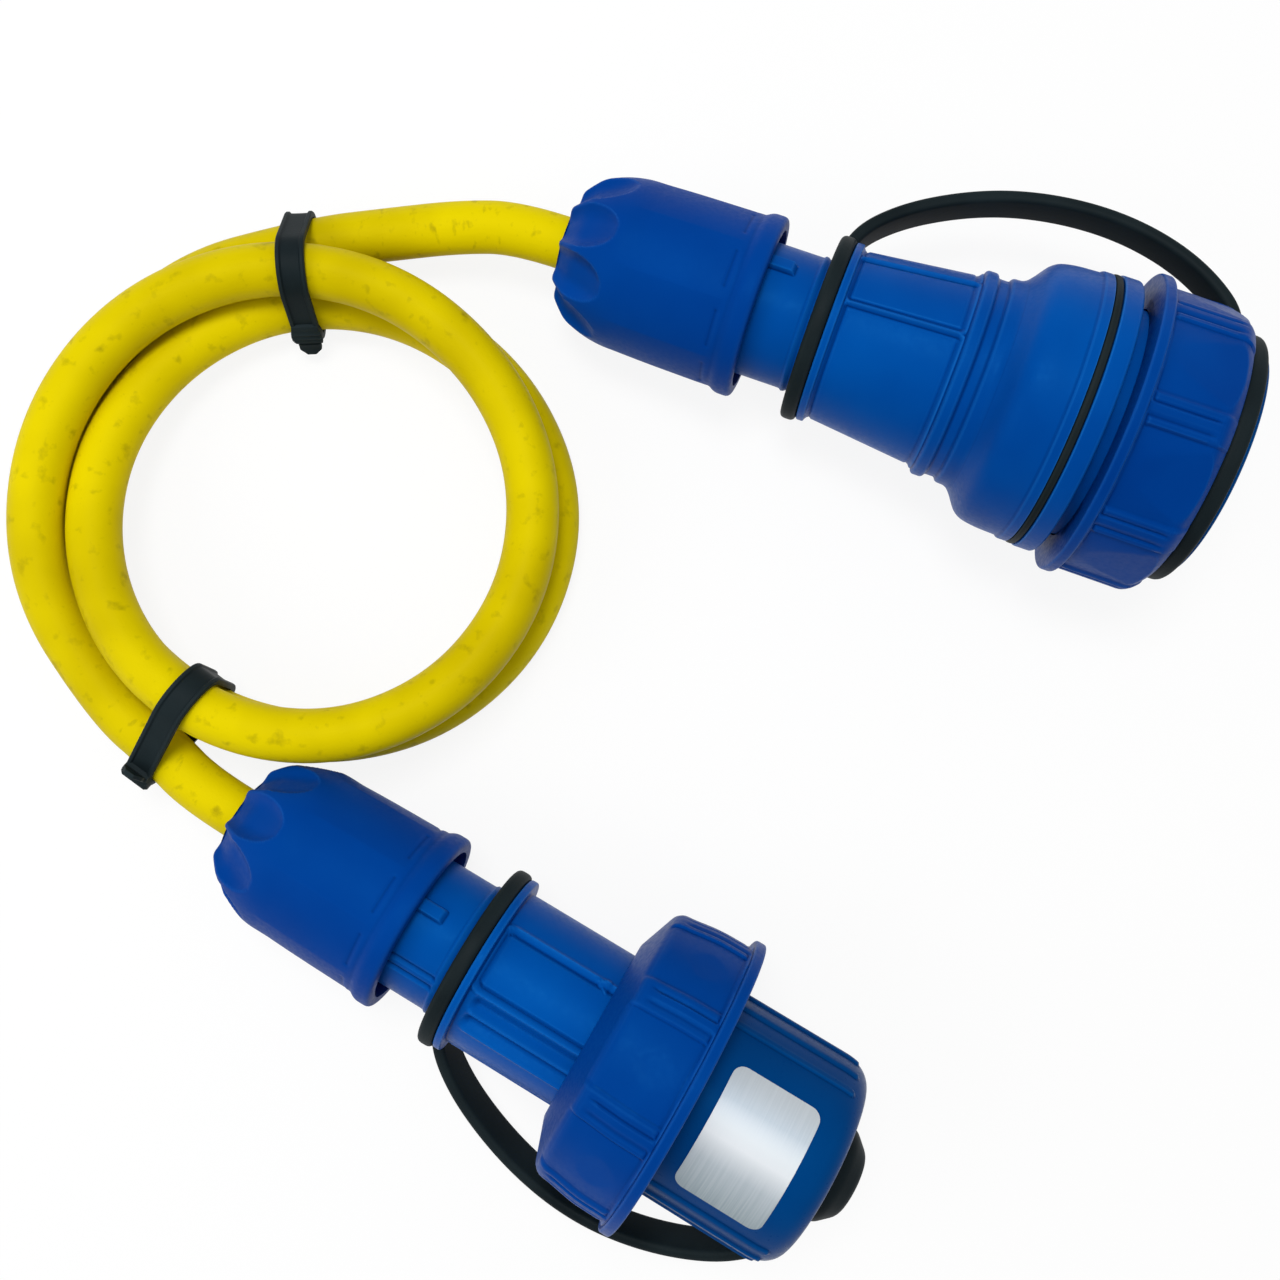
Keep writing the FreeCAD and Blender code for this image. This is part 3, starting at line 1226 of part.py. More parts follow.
def least_self_gap(path, diameter, apart):
    """The least gap between the tube's surfaces at points at least some way apart along it."""
    points = path.discretize(Number=int(path.Length / 3))
    skip = int(apart / 3)
    nearest = min((points[a] - points[b]).Length
                  for a in range(len(points)) for b in range(a + skip, len(points)))
    return nearest - diameter


def cable_coil():
    """The coil, one tube through its stations, whose two ends run straight for a diameter."""
    diameter = size("cable_diameter")
    last = len(COIL_STATIONS) - 1
    tangents = [coil_tangent(station) for station in range(last + 1)]
    points = [coil_point(station) for station in range(last + 1)]
    start, end = points[0], points[last]
    points[0] = start + tangents[0] * diameter
    points[last] = end - tangents[last] * diameter
    edges = [Part.LineSegment(start, points[0]).toShape()]
    for station in range(last):
        edges += biarc(points[station], tangents[station], points[station + 1], tangents[station + 1])
    edges.append(Part.LineSegment(points[last], end).toShape())
    path = Part.Wire(edges)
    section = Part.Wire([Part.Circle(coil_point(0), coil_tangent(0), diameter / 2).toShape()])
    shell = Part.BRepOffsetAPI.MakePipeShell(path)
    shell.add(section)
    shell.build()
    shell.makeSolid()
    solid = Part.Solid(shell.shape())
    area = math.pi * diameter ** 2 / 4
    print(f"coil: volume {solid.Volume:.1f}, section times length {area * path.Length:.1f}, "
          f"length {path.Length:.1f}, least gap {least_self_gap(path, diameter, 60):.2f}")
    return free_shape("cable_coil", solid), path


def lead_points(head):
    """The route between the coil's end and the gland, where it lies along the head's axis."""
    place = PLACES[head]
    inside = place.multVec(Vector())
    outside = place.multVec(Vector(0, 0, -STRAIGHT_OUT))
    if head == "socket":
        middle = [Vector(*point) for point in SOCKET_LEAD_POINTS]
        return [inside, outside] + middle + [coil_point(0)]
    middle = [Vector(*point) for point in PLUG_LEAD_POINTS]
    return [coil_point(len(COIL_STATIONS) - 1)] + middle + [outside, inside]


def cable_lead(head):
    solid, path = tube(lead_points(head), size("cable_diameter"))
    return free_shape(head + "_cable_lead", solid), path


def belt(centres, radius):
    """The closed loop round circles of one radius, given anticlockwise."""
    edges = []
    count = len(centres)
    normals = []
    for index in range(count):
        along = (centres[(index + 1) % count] - centres[index]).normalize()
        normals.append(Vector(along.y, -along.x, 0))
    for index in range(count):
        centre, arriving, leaving = centres[index], normals[index - 1], normals[index]
        middle = (arriving + leaving).normalize()
        bend = Part.Arc(centre + arriving * radius, centre + middle * radius, centre + leaving * radius)
        edges.append(bend.toShape())
        following = centres[(index + 1) % count]
        edges.append(Part.LineSegment(centre + leaving * radius, following + leaving * radius).toShape())
    return Part.Wire(edges)


def crossings(paths, origin, heading, outward):
    """The points and headings at which paths pass the plane through origin square to heading."""
    found = []
    for path in paths:
        points = path.discretize(Number=int(path.Length * 2))
        for before, after in zip(points, points[1:]):
            low, high = (before - origin).dot(heading), (after - origin).dot(heading)
            if low * high <= 0 and low != high:
                share = low / (low - high)
                crossing = before + (after - before) * share
                if abs((crossing - origin).dot(outward)) < size("coil_reach"):
                    found.append((crossing, (after - before).normalize()))
    return found


def tie(label, paths, angle, turn):
    """A moulded band round the strands at an angle of the coil, turned a little to suit a leaving strand."""
    angle = math.radians(angle)
    radial = Vector(math.cos(angle), math.sin(angle), 0)
    origin = Vector(size("coil_x"), size("coil_y"), 0) + radial * size("tie_middle")
    heading = Rotation(Vector(0, 0, 1), turn).multVec(Vector(-math.sin(angle), math.cos(angle), 0))
    up = Vector(0, 0, 1)
    outward = heading.cross(up).normalize()
    strands = crossings(paths, origin, heading, outward)
    flat = [Vector((crossing - origin).dot(outward), crossing.z, 0) for crossing, along in strands]
    middle = sum(flat, Vector()) / len(flat)
    flat.sort(key=lambda point: math.atan2(point.y - middle.y, point.x - middle.x))
    print(f"{label}: strands {[(round(point.x, 1), round(point.y, 1)) for point in flat]}, off square by "
          f"{[round(math.degrees(math.acos(abs(along.dot(heading)))), 1) for crossing, along in strands]}")
    inner = size("cable_diameter / 2 + tie_gap")
    width = size("tie_width")
    raised = size("tie_edge")
    hole = Part.Face(belt(flat, inner))
    band = None
    for low, high, extra in ((0, width, 0.0), (0, width * 0.16, raised), (width * 0.84, width, raised)):
        ring = Part.Face(belt(flat, inner + size("tie_thickness") + extra)).cut(hole)
        ring = ring.extrude(Vector(0, 0, high - low))
        ring.translate(Vector(0, 0, low - width / 2))
        band = ring if band is None else band.fuse(ring)
    placement = Placement(origin, Rotation(outward, up, outward.cross(up), "ZYX"))
    return free_shape(label, band.removeSplitter(), placement)


def build():
    """Every sub-part, head by head, and then the cable."""
    for head, front, terminal_at in (("plug", plug_front, PLUG_TERMINAL_AT),
                                     ("socket", socket_front, SOCKET_TERMINAL_AT)):
        first = len(SUB_PARTS)
        gland_nut(head)
        thrust_washer(head)
        clamp_cage(head)
        gland_seal(head)
        sheath_end(head)
        core_wires(head, terminal_at)
        terminal_screws(head, terminal_at)
        front()
        for part in SUB_PARTS[first:]:
            part.Placement = PLACES[head]
    socket_lead = cable_lead("socket")
    coil = cable_coil()
    plug_lead = cable_lead("plug")
    paths = [socket_lead[1], coil[1], plug_lead[1]]
    tie("upper_tie", paths, UPPER_TIE_ANGLE, 1)
    tie("lower_tie", paths, LOWER_TIE_ANGLE, -6)
    total = socket_lead[1].Length + coil[1].Length + plug_lead[1].Length
    print(f"cable from gland to gland: {total:.1f}")


def plug_front():
    plug_housing()
    plug_coupling_ring()
    plug_face_seal()
    plug_contact_carrier()
    plug_pin("live")
    plug_pin("neutral")
    plug_earth_strips()
    plug_cap()
    cap_label()
    plug_tether()


def socket_front():
    socket_housing()
    socket_contact_carrier()
    socket_contact("live")
    socket_contact("neutral")
    socket_earth_strips()
    collar_oring()
    lid_seal()
    socket_lid()
    lid_coupling_ring()
    socket_tether()


build()
doc.recompute()

for item in doc.Objects:
    if "Invalid" in item.State or "Error" in item.State:
        raise RuntimeError(f"{item.Label} ({item.TypeId}) did not build: {item.State}")
for part in SUB_PARTS:
    if part.Shape.isNull() or not part.Shape.isValid():
        raise RuntimeError(f"{part.Label} has no valid shape")

os.makedirs("parts", exist_ok=True)
for part in SUB_PARTS:
    part.Shape.exportStep(os.path.join("parts", part.Label + ".step"))

CORD_PARTS = ("cable_coil", "plug_cable_lead", "socket_cable_lead", "upper_tie", "lower_tie")
whole = Part.makeCompound([part.Shape for part in SUB_PARTS if part.Label not in CORD_PARTS])
box = whole.optimalBoundingBox(False, False)
print(f"{len(SUB_PARTS)} sub-parts")
print(f"heads: X {box.XMin:.2f} to {box.XMax:.2f}, Y {box.YMin:.2f} to {box.YMax:.2f}, "
      f"Z {box.ZMin:.2f} to {box.ZMax:.2f}")
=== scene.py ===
"""Watertight extension lead for a camper, laid on a pale floor and seen from straight above.

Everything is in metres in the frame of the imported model, +Z up. The two heads are drawn along their
own axes in millimetres, from the cable end of the gland nut (station 0) to the front, and then laid
where they belong. A head's azimuth is 90 degrees on its upper side.
"""

import bmesh
import bpy
import json
import math
import numpy as np
from mathutils import Matrix, Vector


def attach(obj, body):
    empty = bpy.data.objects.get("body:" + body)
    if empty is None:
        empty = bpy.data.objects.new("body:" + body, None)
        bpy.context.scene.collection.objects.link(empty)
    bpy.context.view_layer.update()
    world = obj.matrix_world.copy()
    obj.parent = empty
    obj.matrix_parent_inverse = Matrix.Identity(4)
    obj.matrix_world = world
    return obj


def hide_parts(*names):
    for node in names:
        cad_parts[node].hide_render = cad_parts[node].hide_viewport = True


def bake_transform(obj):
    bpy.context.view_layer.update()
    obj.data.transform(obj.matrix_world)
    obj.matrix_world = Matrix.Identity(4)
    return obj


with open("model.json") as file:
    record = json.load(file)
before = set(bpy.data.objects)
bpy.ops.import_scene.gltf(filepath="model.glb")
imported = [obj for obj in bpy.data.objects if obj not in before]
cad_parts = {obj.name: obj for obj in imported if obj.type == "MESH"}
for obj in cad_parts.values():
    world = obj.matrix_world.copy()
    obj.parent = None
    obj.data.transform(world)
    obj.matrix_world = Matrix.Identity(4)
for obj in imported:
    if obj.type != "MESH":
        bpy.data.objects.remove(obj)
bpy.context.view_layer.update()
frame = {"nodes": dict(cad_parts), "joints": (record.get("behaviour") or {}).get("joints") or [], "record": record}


# Studio: a pale floor under the lead, a white sky that is brighter overhead, and two soft boxes.
# The camera stands nearly straight above, as the photographer's did.

MM = 0.001
CAMERA_AT = Vector((-37.96, 7.04, 303.5)) * MM
CAMERA_LEAN_X = math.radians(3.719)
CAMERA_LEAN_Y = math.radians(1.909)
FOCAL_PIXELS = 1341.97
PHOTO_PIXELS = 1280
SENSOR_WIDTH = 36.0
FLOOR_SIZE = 3.0
FLOOR_DROP = 0.0001
FLOOR_WHITE_SHARE = 0.88
SKY_STRENGTH = 0.62
HORIZON_SHARE = 0.3

toward = Vector((math.sin(CAMERA_LEAN_X), math.sin(CAMERA_LEAN_Y), -1)).normalized()
right = toward.cross(Vector((0, 1, 0))).normalized()
upward = right.cross(toward)
camera_data = bpy.data.cameras.new("camera")
camera_data.sensor_width = SENSOR_WIDTH
camera_data.lens = SENSOR_WIDTH * FOCAL_PIXELS / PHOTO_PIXELS
camera_data.clip_start = 0.01
camera = bpy.data.objects.new("camera", camera_data)
camera.matrix_world = Matrix.LocRotScale(CAMERA_AT, Matrix((right, upward, -toward)).transposed(), None)
bpy.context.scene.collection.objects.link(camera)
bpy.context.scene.camera = camera
bpy.context.scene.view_settings.view_transform = "Standard"


def feed(tree, node, inputs):
    """Sets a node's inputs, each by a link from a socket or by a plain value."""
    for name, value in inputs.items():
        if isinstance(value, bpy.types.NodeSocket):
            tree.links.new(value, node.inputs[name])
        else:
            node.inputs[name].default_value = value
    return node


def add_node(tree, kind, inputs=(), **settings):
    """A new node of a kind with its settings and its inputs."""
    node = tree.nodes.new(kind)
    for name, value in settings.items():
        setattr(node, name, value)
    return feed(tree, node, dict(inputs))


def new_material(name):
    """A material with its node tree and its shader at hand."""
    material = bpy.data.materials.new(name)
    material.use_nodes = True
    return material, material.node_tree, material.node_tree.nodes["Principled BSDF"]


def add_piece(name, mesh):
    """A new object at the origin for a mesh that already lies in its place."""
    piece = bpy.data.objects.new(name, mesh)
    bpy.context.scene.collection.objects.link(piece)
    return piece


def seen_white(tree, light_kind, shader, share):
    """Mixes a plain white in where the camera or a reflection looks straight at a floor or sky."""
    path = add_node(tree, "ShaderNodeLightPath")
    seen = path.outputs["Is Camera Ray"]
    for ray in ("Is Glossy Ray", "Is Transmission Ray"):
        either = add_node(tree, "ShaderNodeMath", {0: seen, 1: path.outputs[ray]}, operation="MAXIMUM")
        seen = either.outputs[0]
    white = add_node(tree, light_kind, {"Color": (1, 1, 1, 1), "Strength": 1.0})
    part = add_node(tree, "ShaderNodeMath", {0: seen, 1: share}, operation="MULTIPLY")
    mix = add_node(tree, "ShaderNodeMixShader", {0: part.outputs[0], 1: shader, 2: white.outputs[0]})
    output = next(node for node in tree.nodes if node.type in ("OUTPUT_MATERIAL", "OUTPUT_WORLD"))
    tree.links.new(mix.outputs[0], output.inputs[0])


floor_mesh = bpy.data.meshes.new("floor")
half = FLOOR_SIZE / 2
corners = [(-half, -half, 0), (half, -half, 0), (half, half, 0), (-half, half, 0)]
floor_mesh.from_pydata(corners, [], [(0, 1, 2, 3)])
floor = add_piece("floor", floor_mesh)
floor.location.z = -FLOOR_DROP
floor_paint, tree, shader = new_material("floor")
feed(tree, shader, {"Base Color": (0.9, 0.9, 0.9, 1), "Roughness": 0.9})
seen_white(tree, "ShaderNodeEmission", shader.outputs[0], FLOOR_WHITE_SHARE)
floor_mesh.materials.append(floor_paint)

sky = bpy.data.worlds.new("sky")
sky.use_nodes = True
bpy.context.scene.world = sky
tree = sky.node_tree
heading = add_node(tree, "ShaderNodeTexCoord").outputs["Generated"]
split = add_node(tree, "ShaderNodeSeparateXYZ", {0: heading})
height = add_node(tree, "ShaderNodeMapRange", {
    "Value": split.outputs["Z"], "To Min": SKY_STRENGTH * HORIZON_SHARE, "To Max": SKY_STRENGTH})
sky_light = feed(tree, tree.nodes["Background"], {
    "Color": (1, 1, 1, 1), "Strength": height.outputs["Result"]})
seen_white(tree, "ShaderNodeBackground", sky_light.outputs[0], 1.0)


def soft_box(name, place, width, power):
    """A square lamp of a width, turned to the middle of the frame."""
    data = bpy.data.lights.new(name, "AREA")
    data.size = width
    data.energy = power
    lamp = bpy.data.objects.new(name, data)
    lamp.location = place
    lamp.rotation_euler = (-lamp.location).to_track_quat("-Z", "Y").to_euler()
    bpy.context.scene.collection.objects.link(lamp)


soft_box("soft_box_above", (-0.12, 0.22, 0.8), 0.25, 3.6)
soft_box("soft_box_left", (-0.6, -0.1, 0.5), 0.4, 1.4)


# Head frames: where each head lies, read from the joints that run along it.
# The housings, nuts, rings, cap and lid are all turned about these two axes.

PLUG_RING_STATION = 95.0 * MM
LID_RING_STATION = 128.0 * MM


def head_frame(slide, hinge, station):
    """A head's frame: its axis is a slide's axis, and the hinge's point lies on it at a station."""
    joints = {joint["name"]: joint for joint in frame["joints"]}
    axis = Vector(joints[slide]["axis"]).normalized()
    across = Vector((0, 0, 1)).cross(axis).normalized()
    start = Vector(joints[hinge]["pos_m"]) - axis * station
    return Matrix.LocRotScale(start, Matrix((across, axis.cross(across), axis)).transposed(), None)


PLUG = head_frame("cap_slide", "plug_ring_turn", PLUG_RING_STATION)
SOCKET = head_frame("lid_slide", "lid_ring_turn", LID_RING_STATION)


# Cable: one yellow rubber-sheathed cable with three cores, laid by hand in about two and a half turns
# between the two glands. The coil's stations are its radius and height, every 45 degrees round it.
# Handling has left faint dark scuffs on the sheath.

CABLE_DIAMETER = 11.2 * MM
COIL_MIDDLE = Vector((-89.96, 43.04, 0)) * MM
COIL_STATIONS = [
    (60.5, 8.8), (57.4, 6.6), (51.3, 6.0), (46.5, 8.3), (47.1, 6.5), (49.9, 5.7), (52.8, 5.7), (50.6, 6.3),
    (47.5, 8.0), (45.0, 9.4), (43.5, 17.0), (44.9, 22.0), (46.7, 25.6), (47.3, 22.2), (47.6, 18.2),
    (48.4, 18.3), (51.5, 19.4), (54.0, 19.1), (55.7, 17.8), (57.6, 12.6),
]
COIL_START = math.radians(90)
COIL_STEP = math.radians(45)
POINT_STEP = math.radians(30)
SOCKET_LEAD = [(-45.52, 106.07, 14.58), (-58.3, 106.6, 12.6), (-73.8, 105.3, 10.4)]
PLUG_LEAD = [(-120.0, -6.8, 13.2), (-112.12, -14.91, 14.14)]
CABLE_BEVEL_STEPS = 10
CABLE_STEPS = 16
CABLE_ORDER = 3
CABLE_DEEP = (0.50, 0.385, 0.0)
CABLE_BRIGHT = (0.70, 0.565, 0.0)
CABLE_SCUFF = (0.16, 0.115, 0.004)


def noise_of(tree, place, scale, detail=2.0, stretch=None):
    """A noise over a place, finer with its scale, drawn out along an axis by a stretch."""
    if stretch:
        place = add_node(tree, "ShaderNodeMapping", {"Vector": place, "Scale": stretch}).outputs[0]
    inputs = {"Vector": place, "Scale": scale, "Detail": detail}
    return add_node(tree, "ShaderNodeTexNoise", inputs).outputs["Fac"]


def ramp_of(tree, factor, stops):
    """A colour for each level of a factor, as (level, colour) stops from low to high."""
    node = add_node(tree, "ShaderNodeValToRGB", {"Fac": factor})
    elements = node.color_ramp.elements
    for number, (level, colour) in enumerate(stops):
        element = elements[number] if number < 2 else elements.new(level)
        element.position = level
        element.color = (*colour, 1)
    return node.outputs["Color"]


def level_of(tree, factor, low, high, to_low, to_high):
    """A factor's range low to high, mapped to another range and kept within it."""
    inputs = {"Value": factor, "From Min": low, "From Max": high, "To Min": to_low, "To Max": to_high}
    return add_node(tree, "ShaderNodeMapRange", inputs).outputs["Result"]


def laid_over(tree, share, under, over):
    """A plain colour laid over another by a share."""
    return add_node(tree, "ShaderNodeMix", {0: share, 6: under, 7: (*over, 1)}, data_type="RGBA").outputs[2]


def grain(tree, shader, height, depth, strength):
    """A fine relief on a surface, of a depth in metres."""
    bump = add_node(tree, "ShaderNodeBump", {"Height": height, "Distance": depth, "Strength": strength})
    feed(tree, shader, {"Normal": bump.outputs[0]})


def place_of(tree, kind="Object"):
    """Where a point lies, in the object's own frame or in another kind of coordinates."""
    return add_node(tree, "ShaderNodeTexCoord").outputs[kind]


def stands_for(piece, body, slot, *replaced):
    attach(piece, body)
    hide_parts(*replaced)


def plain_mesh(piece):
    """A piece's mesh with its bevel and modifiers applied."""
    graph = bpy.context.evaluated_depsgraph_get()
    graph.update()
    evaluated = piece.evaluated_get(graph)
    return bpy.data.meshes.new_from_object(evaluated, preserve_all_data_layers=True, depsgraph=graph)


def coil_control_points():
    """Points of the coil, standing out a little so that the smooth line has the coil's radius."""
    sweep = COIL_STEP * (len(COIL_STATIONS) - 1)
    count = round(sweep / POINT_STEP)
    points = []
    for number in range(count + 1):
        turned = sweep * number / count
        station = min(turned / COIL_STEP, len(COIL_STATIONS) - 1.000001)
        share = station % 1
        low, high = COIL_STATIONS[int(station)], COIL_STATIONS[int(station) + 1]
        radius, height = (a + (b - a) * share for a, b in zip(low, high))
        outward = 1 if number in (0, count) else 1 / math.cos(POINT_STEP / 2)
        angle = COIL_START + turned
        spoke = Vector((math.cos(angle), math.sin(angle), 0))
        points.append(COIL_MIDDLE + spoke * radius * outward * MM + Vector((0, 0, height * MM)))
    return points


def smooth_line(name, points, order, steps, thickness=0.0):
    """A curve object of one smooth open line that is led by points, round if it has a thickness."""
    data = bpy.data.curves.new(name, "CURVE")
    data.dimensions = "3D"
    data.resolution_u = steps
    data.bevel_depth = thickness / 2
    data.bevel_resolution = CABLE_BEVEL_STEPS
    data.use_fill_caps = True
    spline = data.splines.new("NURBS")
    spline.points.add(len(points) - 1)
    for point, place in zip(spline.points, points):
        point.co = (*place, 1)
    spline.order_u = order
    spline.use_endpoint_u = True
    return add_piece(name, data)


def line_points(name, points, order, steps):
    """Points along the smooth line that is led by points."""
    curve = smooth_line(name, points, order, steps)
    line = plain_mesh(curve)
    places = [vertex.co.copy() for vertex in line.vertices]
    data = curve.data
    bpy.data.objects.remove(curve)
    bpy.data.curves.remove(data)
    bpy.data.meshes.remove(line)
    return places


route = [SOCKET.translation] + [Vector(point) * MM for point in SOCKET_LEAD]
route += coil_control_points()
route += [Vector(point) * MM for point in PLUG_LEAD] + [PLUG.translation]
cable_path = line_points("cable_path", route, CABLE_ORDER, CABLE_STEPS)
cable_curve = smooth_line("cable_curve", route, CABLE_ORDER, CABLE_STEPS, CABLE_DIAMETER)
cable = add_piece("cable", plain_mesh(cable_curve))
cable.data.name = "cable"
bpy.data.objects.remove(cable_curve)
cable.data.shade_smooth()

sheath, tree, shader = new_material("cable_sheath")
place = place_of(tree)
tone = noise_of(tree, place, 24, 3.0)
colour = ramp_of(tree, tone, [(0.32, CABLE_DEEP), (0.62, CABLE_BRIGHT)])
scuff = noise_of(tree, place_of(tree, "UV"), 7, 6.0, (34, 1.3, 1))
colour = laid_over(tree, level_of(tree, scuff, 0.58, 0.76, 0.0, 0.5), colour, CABLE_SCUFF)
fleck = noise_of(tree, place, 900, 2.0)
colour = laid_over(tree, level_of(tree, fleck, 0.68, 0.78, 0.0, 0.12), colour, CABLE_SCUFF)
feed(tree, shader, {
    "Base Color": colour, "Roughness": level_of(tree, tone, 0.3, 0.7, 0.42, 0.56),
    "Specular IOR Level": 0.06, "Specular Tint": (1.0, 0.85, 0.25, 1)})
grain(tree, shader, noise_of(tree, place, 1500, 3.0), 0.00008, 0.35)
cable.data.materials.clear()
cable.data.materials.append(sheath)
stands_for(cable, "cord_set", "cable_sheath", "cable_coil", "plug_cable_lead", "socket_cable_lead")


# Black rubber: the tethers, ties, O-ring and seals are all moulded or extruded in it. It is nearly
# black with a green cast, and dull, with a fine skin; its greyer edges are partly rubbed wear and partly painted
# highlight.

RUBBER_DEEP = (0.0045, 0.0085, 0.0105)
RUBBER_WORN = (0.013, 0.021, 0.024)
RUBBER_EDGE_WEAR_AND_HIGHLIGHT = (0.020, 0.030, 0.033)
EDGE_REACH = 0.0005


def mark_edges(mesh):
    """Stores how each point stands against its neighbours: corners above nought, creases below it."""
    count = len(mesh.vertices)
    places = np.empty(count * 3)
    mesh.vertices.foreach_get("co", places)
    normals = np.empty(count * 3)
    mesh.vertex_normals.foreach_get("vector", normals)
    ends = np.empty(len(mesh.edges) * 2, int)
    mesh.edges.foreach_get("vertices", ends)
    places, normals, ends = places.reshape(-1, 3), normals.reshape(-1, 3), ends.reshape(-1, 2)
    bend, shares = np.zeros(count), np.zeros(count)
    for here, there in (ends.T, ends.T[::-1]):
        step = places[there] - places[here]
        fall = -2 * (normals[here] * step).sum(1) / np.maximum((step * step).sum(1), 1e-10)
        np.add.at(bend, here, fall)
        np.add.at(shares, here, 1)
    sharp = np.clip(bend / np.maximum(shares, 1) * EDGE_REACH, -1, 1)
    attribute = mesh.attributes.new("edge", "FLOAT", "POINT")
    attribute.data.foreach_set("value", sharp.astype(np.float32))


def edge_share(tree, low, high, most=1.0):
    """How much of a corner, or of a crease where high is below nought, a point is."""
    attribute = add_node(tree, "ShaderNodeAttribute", attribute_name="edge")
    return level_of(tree, attribute.outputs["Fac"], low, high, 0.0, most)


def finish_shell(mesh, paint, sharp=42):
    """Smooths a shell but for its sharp edges, marks its corners and paints it."""
    mesh.shade_smooth()
    mesh.set_sharp_from_angle(angle=math.radians(sharp))
    if "edge" not in mesh.attributes:
        mark_edges(mesh)
    mesh.materials.clear()
    mesh.materials.append(paint)


black_rubber, tree, shader = new_material("black_rubber")
place = place_of(tree)
tone = noise_of(tree, place, 45, 4.0)
colour = ramp_of(tree, tone, [(0.35, RUBBER_DEEP), (0.75, RUBBER_WORN)])
# The greyer corners are partly rubbed wear and partly a painted highlight.
feed(tree, shader, {
    "Base Color": laid_over(tree, edge_share(tree, 0.15, 1.2), colour, RUBBER_EDGE_WEAR_AND_HIGHLIGHT),
    "Roughness": level_of(tree, tone, 0.3, 0.7, 0.44, 0.6), "Specular IOR Level": 0.045})
grain(tree, shader, noise_of(tree, place, 1300, 3.0), 0.00007, 0.4)


# Ties: two moulded black bands that hold the coil, each pulled round three strands of the cable.
# A band has a raised edge on both sides, and its free end sticks out of a ridged clasp.

TIE_INNER = 6.3
TIE_THICKNESS = 1.0
FLOOR_GAP = 0.05 * MM
TIE_MIDDLE = 52.0 * MM
TIE_REACH = 25.0 * MM
TIE_SHARP = 38
ACROSS_TIE = Vector((0, 0, 1))
TIE_SECTION = [
    (-2.9, 0.1), (-2.9, 1.2), (-2.65, 1.4), (-2.15, 1.4), (-1.8, 1.0), (-0.6, 0.97), (0.6, 0.97), (1.8, 1.0),
    (2.15, 1.4), (2.65, 1.4), (2.9, 1.2), (2.9, 0.1), (2.7, 0.0), (0.9, 0.0), (-0.9, 0.0), (-2.7, 0.0),
]
CLASP_ROWS = 13
CLASP_LENGTH = 7.4
CLASP_RIDGE = 0.28
CLASP_SECTION = [(-3.3, -1.0), (-3.3, 0.7), (-2.8, 1.2), (2.8, 1.2), (3.3, 0.7), (3.3, -1.0)]
TAIL_ROWS = 9
TAIL_START = 3.0
TAIL_SECTION = [(-2.4, -0.5), (-2.4, 0.3), (-1.9, 0.5), (1.9, 0.5), (2.4, 0.3), (2.4, -0.5)]


def mesh_of(name, vertices, faces, mended=True):
    """A mesh with its doubles merged and without edges that no face uses.

    A mended one also loses its slivers, and all its faces look outward."""
    mesh = bpy.data.meshes.new(name)
    mesh.from_pydata(vertices, [], faces)
    work = bmesh.new()
    work.from_mesh(mesh)
    bmesh.ops.remove_doubles(work, verts=work.verts, dist=1e-7)
    if mended:
        bmesh.ops.dissolve_degenerate(work, edges=work.edges, dist=1e-7)
    bmesh.ops.delete(work, geom=[edge for edge in work.edges if not edge.link_faces], context="EDGES")
    if mended:
        bmesh.ops.recalc_face_normals(work, faces=work.faces)
    work.to_mesh(mesh)
    work.free()
    return mesh


def wall_faces(rows, size, round_rows, round_size=True, skipped=()):
    """Faces between rows of points of one size. Rows and their points may close on themselves."""
    faces = []
    for row in range(rows if round_rows else rows - 1):
        if row in skipped:
            continue
        following = (row + 1) % rows
        for number in range(size if round_size else size - 1):
            beside = (number + 1) % size
            faces.append((row * size + number, row * size + beside,
                          following * size + beside, following * size + number))
    return faces


def end_faces(rows, size):
    """The two faces that close the ends of a run of rows."""
    return [tuple(range(size)), tuple(range((rows - 1) * size, rows * size))]


def swept(name, frames, section, closed):
    """A section carried along frames, each an (origin, across, outward); its ends are closed."""
    vertices = []
    for origin, across, outward in frames:
        vertices += [origin + (across * x + outward * y) for x, y in section]
    faces = wall_faces(len(frames), len(section), closed)
    if not closed:
        faces += end_faces(len(frames), len(section))
    return mesh_of(name, vertices, faces)


def joined(name, meshes):
    """One mesh of several closed shells."""
    work = bmesh.new()
    for mesh in meshes:
        work.from_mesh(mesh)
        bpy.data.meshes.remove(mesh)
    whole = bpy.data.meshes.new(name)
    work.to_mesh(whole)
    work.free()
    return whole


def belt_line(centres, radius, step=0.9):
    """Points and outward headings of a belt round circles of one radius, given anticlockwise."""
    line = []
    count = len(centres)
    for number in range(count):
        before, here, after = (centres[(number + shift) % count] for shift in (-1, 0, 1))
        start, end = ((b - a).normalized() for a, b in ((before, here), (here, after)))
        first = math.atan2(-start.x, start.y)
        turned = (math.atan2(-end.x, end.y) - first) % math.tau
        pieces = max(2, math.ceil(turned * radius / step))
        for share in range(pieces + 1):
            angle = first + turned * share / pieces
            outward = Vector((math.cos(angle), math.sin(angle)))
            line.append((here + outward * radius, outward))
        straight = max(1, math.ceil((after - here).length / (2 * step)))
        for share in range(1, straight):
            line.append((here.lerp(after, share / straight) + outward * radius, outward))
    return line


def strands_at(origin, heading, outward):
    """Where the cable crosses the plane of a tie, across it and up, anticlockwise round their middle."""
    strands = []
    for before, after in zip(cable_path, cable_path[1:]):
        low, high = (before - origin).dot(heading), (after - origin).dot(heading)
        if low * high <= 0 and low != high:
            crossing = before.lerp(after, low / (low - high))
            reach = (crossing - origin).dot(outward)
            if abs(reach) < TIE_REACH:
                strands.append(Vector((reach, crossing.z)) / MM)
    middle = sum(strands, Vector((0, 0))) / len(strands)
    strands.sort(key=lambda strand: math.atan2(strand.y - middle.y, strand.x - middle.x))
    return strands


